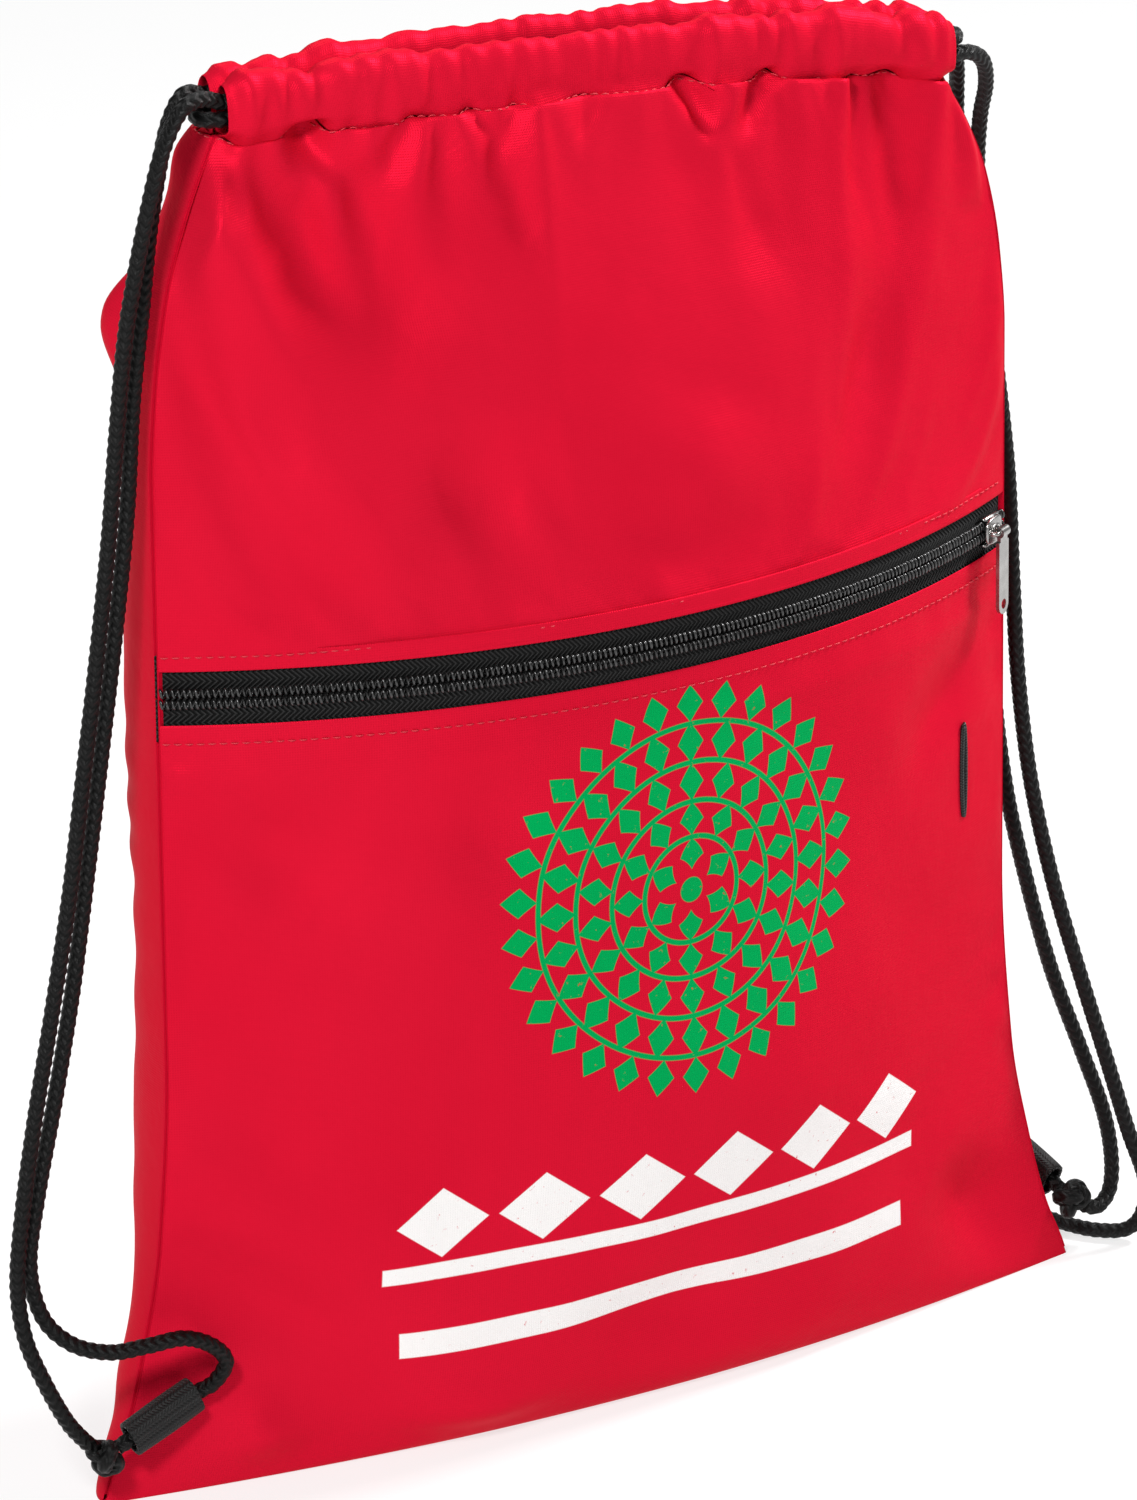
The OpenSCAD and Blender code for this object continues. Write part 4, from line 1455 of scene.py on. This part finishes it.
def make_tabs():
    """Webbing folded into a tunnel, with thick soft edges and ribs along it."""
    middle = stadium(TAB_W - TAB_WALL, TAB_H - TAB_WALL, TAB_SIDES)
    points = []
    uvs = []
    for sign in (1, -1):
        for x, thick in tab_stops()[::sign]:
            for k, (y, z, out_y, out_z) in enumerate(middle):
                a = 2 * math.pi * k / TAB_SIDES
                rib = RIB_HEIGHT * math.cos(TAB_RIBS * a) if sign > 0 else 0
                sag = 0.125 * math.sin(x / 5.0 + 2 * a)
                push = sign * thick / 2 + rib + sag
                points.append((x, y + push * out_y, z + push * out_z))
                uvs.append((x * MM, RIB_WIDTH * TAB_RIBS * k / TAB_SIDES * MM))
    faces = []
    for i in range(0, len(points), TAB_SIDES):
        after = (i + TAB_SIDES) % len(points)
        for k in range(TAB_SIDES):
            beside = (k + 1) % TAB_SIDES
            faces.append((i + k, after + k, after + beside, i + beside))
    for side in TAB_MID:
        place = tab_place(side)
        vertices = [tuple(place @ Vector(point)) for point in points]
        piece = new_object("webbing_tab_" + side, vertices, faces, WEBBING, uvs=uvs)
        stands_for(piece, "corner_tab_" + side)


# ---------------------------------------------------------------------------
# Zipper and slit
# ---------------------------------------------------------------------------

TAPE_R = FRONT_R - 1.2
TAPE_END = SEAM_ANGLE - math.radians(0.12)
TAPE_T = 0.0005
# Heights of the tape's inner and outer edge from the middle of the zipper
TAPE_INNER = 0.25
TAPE_OUTER = 13.5
TAPE_ROWS = 12
TAPE_COLUMNS = 150
COIL_R = TAPE_R + 0.1
COIL_PITCH = 1.75
COIL_WIRE_R = 0.46
COIL_SIDES = 6
COIL_STEPS = 12
# Middle and half size of a coil's turns, along the height and out from the tape
COIL_MID_Z = 1.72
COIL_HALF_Z = 1.25
COIL_MID_OUT = 1.12
COIL_HALF_OUT = 0.72


def front_arc(radius, angle, z):
    """A point in front of the arc's middle, at an angle from it."""
    return (radius * math.sin(angle), ARC_Y - radius * math.cos(angle), z)


def make_tapes():
    """Woven tapes behind the coils, a little wavy along their hidden edges."""
    angles = np.linspace(-TAPE_END, TAPE_END, TAPE_COLUMNS)
    for name, sign in (("upper", 1), ("lower", -1)):
        points = []
        for i, rise in enumerate(np.linspace(TAPE_INNER, TAPE_OUTER, TAPE_ROWS)):
            wavy = 0.12 * np.sin(angles * 90 + i * 0.4)
            radius = TAPE_R - 0.1 + wavy * rise / TAPE_OUTER
            x = radius * np.sin(angles)
            y = ARC_Y - radius * np.cos(angles)
            x = np.concatenate([[-BELLY_W - 0.3], x, [BELLY_W + 0.3]])
            y = np.concatenate([[-SEAM_Y + 0.3], y, [-SEAM_Y + 0.3]])
            points.append(np.stack([x, y, np.full(len(x), ZIP_Z + sign * rise)], axis=1))
        grid = np.array(points)
        faces = grid_faces(*grid.shape[:2], flipped=sign < 0)
        piece = new_object("zipper_tape_weave_" + name, grid.reshape(-1, 3), faces, TAPE)
        add_thickness(piece, TAPE_T, -1)
        stands_for(piece, "zipper_tape_" + name)


def make_coils():
    """Two nylon coils, each a flattened helix, whose turns lie between each other's."""
    turns = int((COIL_R + COIL_MID_OUT) * 2 * TAPE_END / COIL_PITCH)
    for name, sign, shift in (("upper", 1, 0.0), ("lower", -1, 0.5)):
        path = []
        for k in range(turns * COIL_STEPS):
            turn = k / COIL_STEPS
            a = 2 * math.pi * (turn + shift)
            angle = -TAPE_END + 2 * TAPE_END * turn / turns
            z = ZIP_Z + sign * (COIL_MID_Z + COIL_HALF_Z * math.cos(a))
            out = COIL_R + COIL_MID_OUT + COIL_HALF_OUT * math.sin(a) * sign
            path.append(front_arc(out, angle, z))
        vertices, faces, _ = tube_mesh(np.array(path), COIL_WIRE_R, COIL_SIDES)
        piece = new_object("zipper_coil_wire_" + name, vertices, faces, NYLON)
        stands_for(piece, "zipper_coil_" + name)


SLIT_ANGLE = math.radians(26.5)
SLIT_Z = 180.0
# Half width and half height of the slit's rim, its thickness, and how much it is flattened
SLIT_HALF_W = 1.15
SLIT_HALF_H = 15.2
SLIT_RIM_R = 0.95
SLIT_FLATTEN = 0.25
SLIT_POINTS = 64
SLIT_STEP = 0.8
SLIT_SIDES = 12


def make_slit():
    """Bound slit: a padded black rim round a dark gap."""
    out = np.array([math.sin(SLIT_ANGLE), -math.cos(SLIT_ANGLE), 0])
    across = np.array([math.cos(SLIT_ANGLE), math.sin(SLIT_ANGLE), 0])
    centre = np.array(front_arc(FRONT_R + 0.25, SLIT_ANGLE, SLIT_Z))
    points = [
        centre + across * SLIT_HALF_W * math.cos(t) + np.array([0, 0, SLIT_HALF_H * math.sin(t)])
        for t in np.linspace(0, 2 * math.pi, SLIT_POINTS + 1)
    ]
    vertices, faces, _ = tube_mesh(smooth_path(points, SLIT_STEP), SLIT_RIM_R, SLIT_SIDES)
    vertices = np.array(vertices)
    away = (vertices - centre) @ out
    vertices -= np.outer(away * SLIT_FLATTEN, out)
    piece = new_object("earphone_slit_binding", vertices, faces, SLIT_BINDING)
    stands_for(piece, "earphone_port")


SLIDER_ANGLE = math.radians(29.6)
SLIDER_R = COIL_R + 2.2 + 0.4
SLIDER_T = 1.4
# The face plate: its half length, its half width and how much that changes towards its tail
SLIDER_HALF_L = 5.0
SLIDER_HALF_W = 4.25
SLIDER_TAPER = 0.45
SLIDER_SIDES = 40
BAIL_R = SLIDER_R + SLIDER_T + 2.5
BAIL_WIRE_R = 0.68
# Outlines along the zipper and above it: one flange, and the crest under the bail
FLANGE = ((-4.2, -0.38), (4.2, -0.38), (4.6, 0), (4.2, 0.38), (-4.2, 0.38), (-4.6, 0))
FLANGE_Z = 4.25
CREST = (
    (-4.6, 0), (-3.4, 1.5), (-1.6, 2.1), (1.6, 2.3), (3.8, 1.7),
    (4.6, 0), (3.8, -1.7), (1.6, -2.3), (-1.6, -2.1), (-3.4, -1.5),
)
# Half of the bail's wire, from the top of its arch down: place along the zipper, and distance out
BAIL_HALF = (
    (1.4, BAIL_R), (2.8, BAIL_R), (3.6, BAIL_R - 0.35), (3.95, SLIDER_R + 2.4), (3.7, SLIDER_R + 1.2),
)


def slider_point(x, out, z):
    """A point given along the zipper, out from the arc's middle, and above the zipper."""
    centre = Vector((0, ARC_Y, ZIP_Z + z))
    along = Vector((math.cos(SLIDER_ANGLE), math.sin(SLIDER_ANGLE), 0))
    away = Vector((math.sin(SLIDER_ANGLE), -math.cos(SLIDER_ANGLE), 0))
    return tuple(centre + along * x + away * out)


def slab(outline, low, high):
    """A plate with this outline (x, z), from one distance out to another, with softened edges."""
    layers = ((low, 0.92), (low + 0.12, 1.0), (high - 0.3, 1.0), (high - 0.08, 0.95), (high, 0.86))
    vertices = [slider_point(x * k, out, z * k) for out, k in layers for x, z in outline]
    return vertices, ring_faces(len(layers), len(outline))


def make_slider():
    """Slider: a face plate that narrows to its tail, flanges over the coils, and a wire bail."""
    outline = []
    for k in range(SLIDER_SIDES):
        a = 2 * math.pi * k / SLIDER_SIDES
        c, d = math.cos(a), math.sin(a)
        x = SLIDER_HALF_L * math.copysign(abs(c) ** 0.55, c)
        z = (SLIDER_HALF_W + SLIDER_TAPER * c) * math.copysign(abs(d) ** 0.6, d)
        outline.append((x, z))
    parts = [slab(outline, SLIDER_R, SLIDER_R + SLIDER_T)]
    for sign in (-1, 1):
        flange = [(x, sign * (z + FLANGE_Z)) for x, z in FLANGE[::sign]]
        ends = (SLIDER_R - 2.1, SLIDER_R + 0.3)
        rings = [slider_point(x, out, z) for out in ends for x, z in flange]
        parts.append((rings, ring_faces(len(ends), len(flange))))
    crest = [(x * 0.8, z * 0.9) for x, z in CREST]
    parts.append(slab(crest, SLIDER_R + 1.2, SLIDER_R + 1.75))
    bail = [(-x, out) for x, out in BAIL_HALF[::-1]] + [(0, BAIL_R)] + list(BAIL_HALF)
    path = smooth_path([slider_point(x, out, 0) for x, out in bail], 0.3)
    parts.append(tube_mesh(path, BAIL_WIRE_R, 14)[:2])
    vertices = []
    faces = []
    for part_vertices, part_faces in parts:
        base = len(vertices)
        vertices.extend(part_vertices)
        faces.extend(tuple(base + i for i in face) for face in part_faces)
    piece = new_object("zipper_slider_body", vertices, faces, NICKEL, "slider")
    weld(piece)
    stands_for(piece, "zipper_slider")


PULL_BEVEL = 0.25


def finish_pull():
    """The pull tab is shown as made in the CAD, with its edges rounded."""
    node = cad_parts["zipper_pull"]
    node.data.materials.clear()
    node.data.materials.append(NICKEL)
    modifier = node.modifiers.new("bevel", "BEVEL")
    modifier.width = PULL_BEVEL * MM
    modifier.segments = 2
    modifier.angle_limit = math.radians(35)


# ---------------------------------------------------------------------------
# Lining, seams and bartacks
# ---------------------------------------------------------------------------

# The lining's grid, and how far it stays inside the front panel, at its sides and in depth
LINING_SPACING = 6.0
LINING_COLUMNS = 70
LINING_IN_X = 6
LINING_IN_Y = 15
# Height of the lining's lower edge, and how far it is sewn above the zipper's tape
LINING_LOW_Z = 6
LINING_OVER = 5


def make_lining():
    """The pocket's inner layer, a sheet that hangs behind the lower front from the zipper."""
    profile = profile_rows(-1, LINING_SPACING)
    rows = [r for r in profile if LINING_LOW_Z < r[0] < TAPE_HIGH_Z]
    rows.append(edge_row(profile, TAPE_HIGH_Z + LINING_OVER))
    points = []
    flat = []
    for z, w, bulge, reach in rows:
        x, y, length = even_section(-1, w - LINING_IN_X, bulge - LINING_IN_Y, LINING_COLUMNS)
        across = np.linspace(-length / 2, length / 2, LINING_COLUMNS)
        points.append(np.stack([x, y, np.full(LINING_COLUMNS, z)], axis=1))
        flat.append(np.stack([across, np.full(LINING_COLUMNS, reach)], axis=1))
    points = np.array(points)
    lumps = slow_noise(points[:, :, 0], points[:, :, 2], 21.0, 45.0) * 2.0 - 1.0
    points += outward(points, -1) * lumps[:, :, None]
    sheet_from(
        "pocket_lining_cloth", points, np.array(flat), -1, CLOTH_SHADED_INSIDE, "pocket_lining",
    )


SEAM_T = 0.0003
SEAM_SPACING = 4.0
SEAM_LOW_Z = 1.5
# How far the bottom seam keeps off the corners, its height, and its number of columns
BOTTOM_INSET = 8
BOTTOM_Z = 0.2
BOTTOM_COLUMNS = 90
# Share of the gap between the sheets, depth inwards, and flat length of each row of a seam strip
SEAM_ROWS = (
    (1.0, 0.0, 0), (0.75, 0.6, 1), (0.35, 1.6, 2), (0.4, 9.0, 9),
    (-0.4, 9.0, 10), (-0.35, 1.6, 17), (-0.75, 0.6, 18), (-1.0, 0.0, 19),
)


def seam_strip(name, node, front, back, inward):
    """Closes the gap between two sheets, with their allowances turned in side by side."""
    middle = (front + back) / 2
    half = (front - back) / 2
    reach = lengths_along(middle)
    grid = np.array([middle + half * share + inward * depth for share, depth, _ in SEAM_ROWS])
    flat = np.array([np.stack([reach, np.full(len(reach), at)], axis=1) for _, _, at in SEAM_ROWS])
    faces = grid_faces(*grid.shape[:2])
    piece = new_object(name, grid.reshape(-1, 3), faces, CLOTH_SHADED_INSIDE, uvs=flat.reshape(-1, 2) * MM)
    add_thickness(piece, SEAM_T, 0)
    stands_for(piece, node)


def seam_edges(x, z, y):
    """The front and the back edge of a seam, this far from its middle."""
    return [np.stack([x, np.full(len(x), side * y), z], axis=1) for side in (-1, 1)]


def make_seams():
    rows = np.array([r for r in profile_rows(-1, SEAM_SPACING) if r[0] > SEAM_LOW_Z])
    for name, sign in (("left", -1), ("right", 1)):
        x = sign * rows[:, 1]
        z = rows[:, 0] - sink_share(rows[:, 0]) * rim_sink(x)
        front, back = seam_edges(x, z, SEAM_Y + 0.1)
        inward = np.array([-sign, 0.0, 0.0])
        seam_strip("side_seam_cloth_" + name, "side_seam_" + name, front, back, inward)
    x = np.linspace(-CORNER_W + BOTTOM_INSET, CORNER_W - BOTTOM_INSET, BOTTOM_COLUMNS)
    front, back = seam_edges(x, np.full(len(x), BOTTOM_Z), SEAM_Y + 0.2)
    seam_strip("bottom_seam_cloth", "bottom_seam", front, back, np.array([0.0, 0.0, 1.0]))


# Middle of each bartack; their slope, number of zigzags, half length, half width and thread
BARTACK_MIDDLES = ((-147, -10.6, 50), (-143, -12.2, 45))
BARTACK_SLOPE = 50
BARTACK_ZIGZAGS = 28
BARTACK_HALF_L = 3
BARTACK_HALF_W = 0.75
BARTACK_THREAD_R = 0.22


def make_bartacks():
    """Dense zigzags of thread that hold the left tab and the seam."""
    for i, middle in enumerate(BARTACK_MIDDLES):
        turn = Matrix.Translation(Vector(middle)) @ Matrix.Rotation(math.radians(BARTACK_SLOPE), 4, "Y")
        path = []
        for k in range(BARTACK_ZIGZAGS + 1):
            x = BARTACK_HALF_L * (2 * k / BARTACK_ZIGZAGS - 1)
            z = BARTACK_HALF_W if k % 2 else -BARTACK_HALF_W
            path.append(tuple(turn @ Vector((x, 0, z))))
        vertices, faces, _ = tube_mesh(np.array(path), BARTACK_THREAD_R, 6)
        piece = new_object("bartack_thread_%d" % (i + 1), vertices, faces, THREAD)
        if i == 0:
            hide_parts("tab_bartacks")


# ---------------------------------------------------------------------------
# The bag's cloth
# ---------------------------------------------------------------------------


def sheet_from(name, grid, flat, side, material, node):
    """A sheet of cloth that stands for a CAD node, with its flat size as its UVs."""
    piece = cloth_piece(name, grid, flat, side, material)
    stands_for(piece, node)


# Depth behind the cloth, drop past its edge, and flat length of each row of a folded hem
HEM_ROWS = ((0.35, -0.2, 0.5), (0.62, 0.4, 1.2), (0.66, 3.0, 3.8), (0.66, 6.0, 6.8))
# Distance of the topstitching from the zipper's tape
TOPSTITCH_GAP = 4.2


def add_hem(grid, flat, at_top):
    """Turns the edge beside the zipper inwards, as a folded hem."""
    edge = grid[-1] if at_top else grid[0]
    edge_flat = flat[-1] if at_top else flat[0]
    inward = unit(np.stack([-edge[:, 0], ARC_Y - edge[:, 1], 0 * edge[:, 0]], axis=1))
    back = -1.0 if at_top else 1.0
    rows = []
    flats = []
    for depth, drop, reach in HEM_ROWS:
        rows.append(edge + inward * depth + np.array([0, 0, back * drop]))
        flats.append(edge_flat + np.array([0, -back * reach]))
    if at_top:
        return np.vstack([grid, rows]), np.vstack([flat, flats])
    return np.vstack([rows[::-1], grid]), np.vstack([flats[::-1], flat])


def finish_front(which, sheet_name, node, grid, flat, material, stitch_z):
    """One of the two front panels, with its hem at the zipper and its topstitching."""
    at_top = which == "lower"
    row = round(row_at_height(grid, stitch_z))
    hemmed, hemmed_flat = add_hem(grid, flat, at_top)
    sheet_from(sheet_name, hemmed, hemmed_flat, -1, material, node)
    normals = row_normals(grid, row, -1)
    stitch_line("pocket_stitches_" + which, "pocket_topstitch_" + which, along_row(grid, row), normals)


def finish_channel(name, panel, grid, flat):
    """A panel's channel, with its line of stitches just below its lower edge."""
    first = panel.body_rows - 1
    sheet_from(
        "channel_cloth_" + name, grid[first:], flat[first:], panel.side, CLOTH,
        "channel_" + name,
    )
    path = along_row(grid, first - 0.5)
    normals = row_normals(grid, first - 1, panel.side)
    stitch_line("channel_stitches_" + name, "channel_topstitch_" + name, path, normals)


def make_bag():
    settled = make_bag_cloth()
    _, grid, flat = settled["cloth_front_lower"]
    finish_front(
        "lower", "pocket_front_cloth", "front_panel_lower", grid, flat, CLOTH_PRINTED,
        TAPE_LOW_Z - TOPSTITCH_GAP,
    )
    panel, grid, flat = settled["cloth_front_upper"]
    rows = panel.body_rows
    finish_front(
        "upper", "upper_front_cloth", "front_panel_upper", grid[:rows], flat[:rows], CLOTH,
        TAPE_HIGH_Z + TOPSTITCH_GAP,
    )
    finish_channel("front", panel, grid, flat)
    panel, grid, flat = settled["cloth_back"]
    rows = panel.body_rows
    sheet_from("back_cloth", grid[:rows], flat[:rows], 1, CLOTH, "back_panel")
    finish_channel("back", panel, grid, flat)


# ---------------------------------------------------------------------------
# Build
# ---------------------------------------------------------------------------

make_camera()
make_world()
make_floor()
for lamp in LIGHTS:
    make_area_light(*lamp)
make_cords()
make_cord_runs()
make_knots()
make_tabs()
make_tapes()
make_coils()
make_slit()
make_lining()
make_seams()
make_bartacks()
make_slider()
make_bag()
finish_pull()
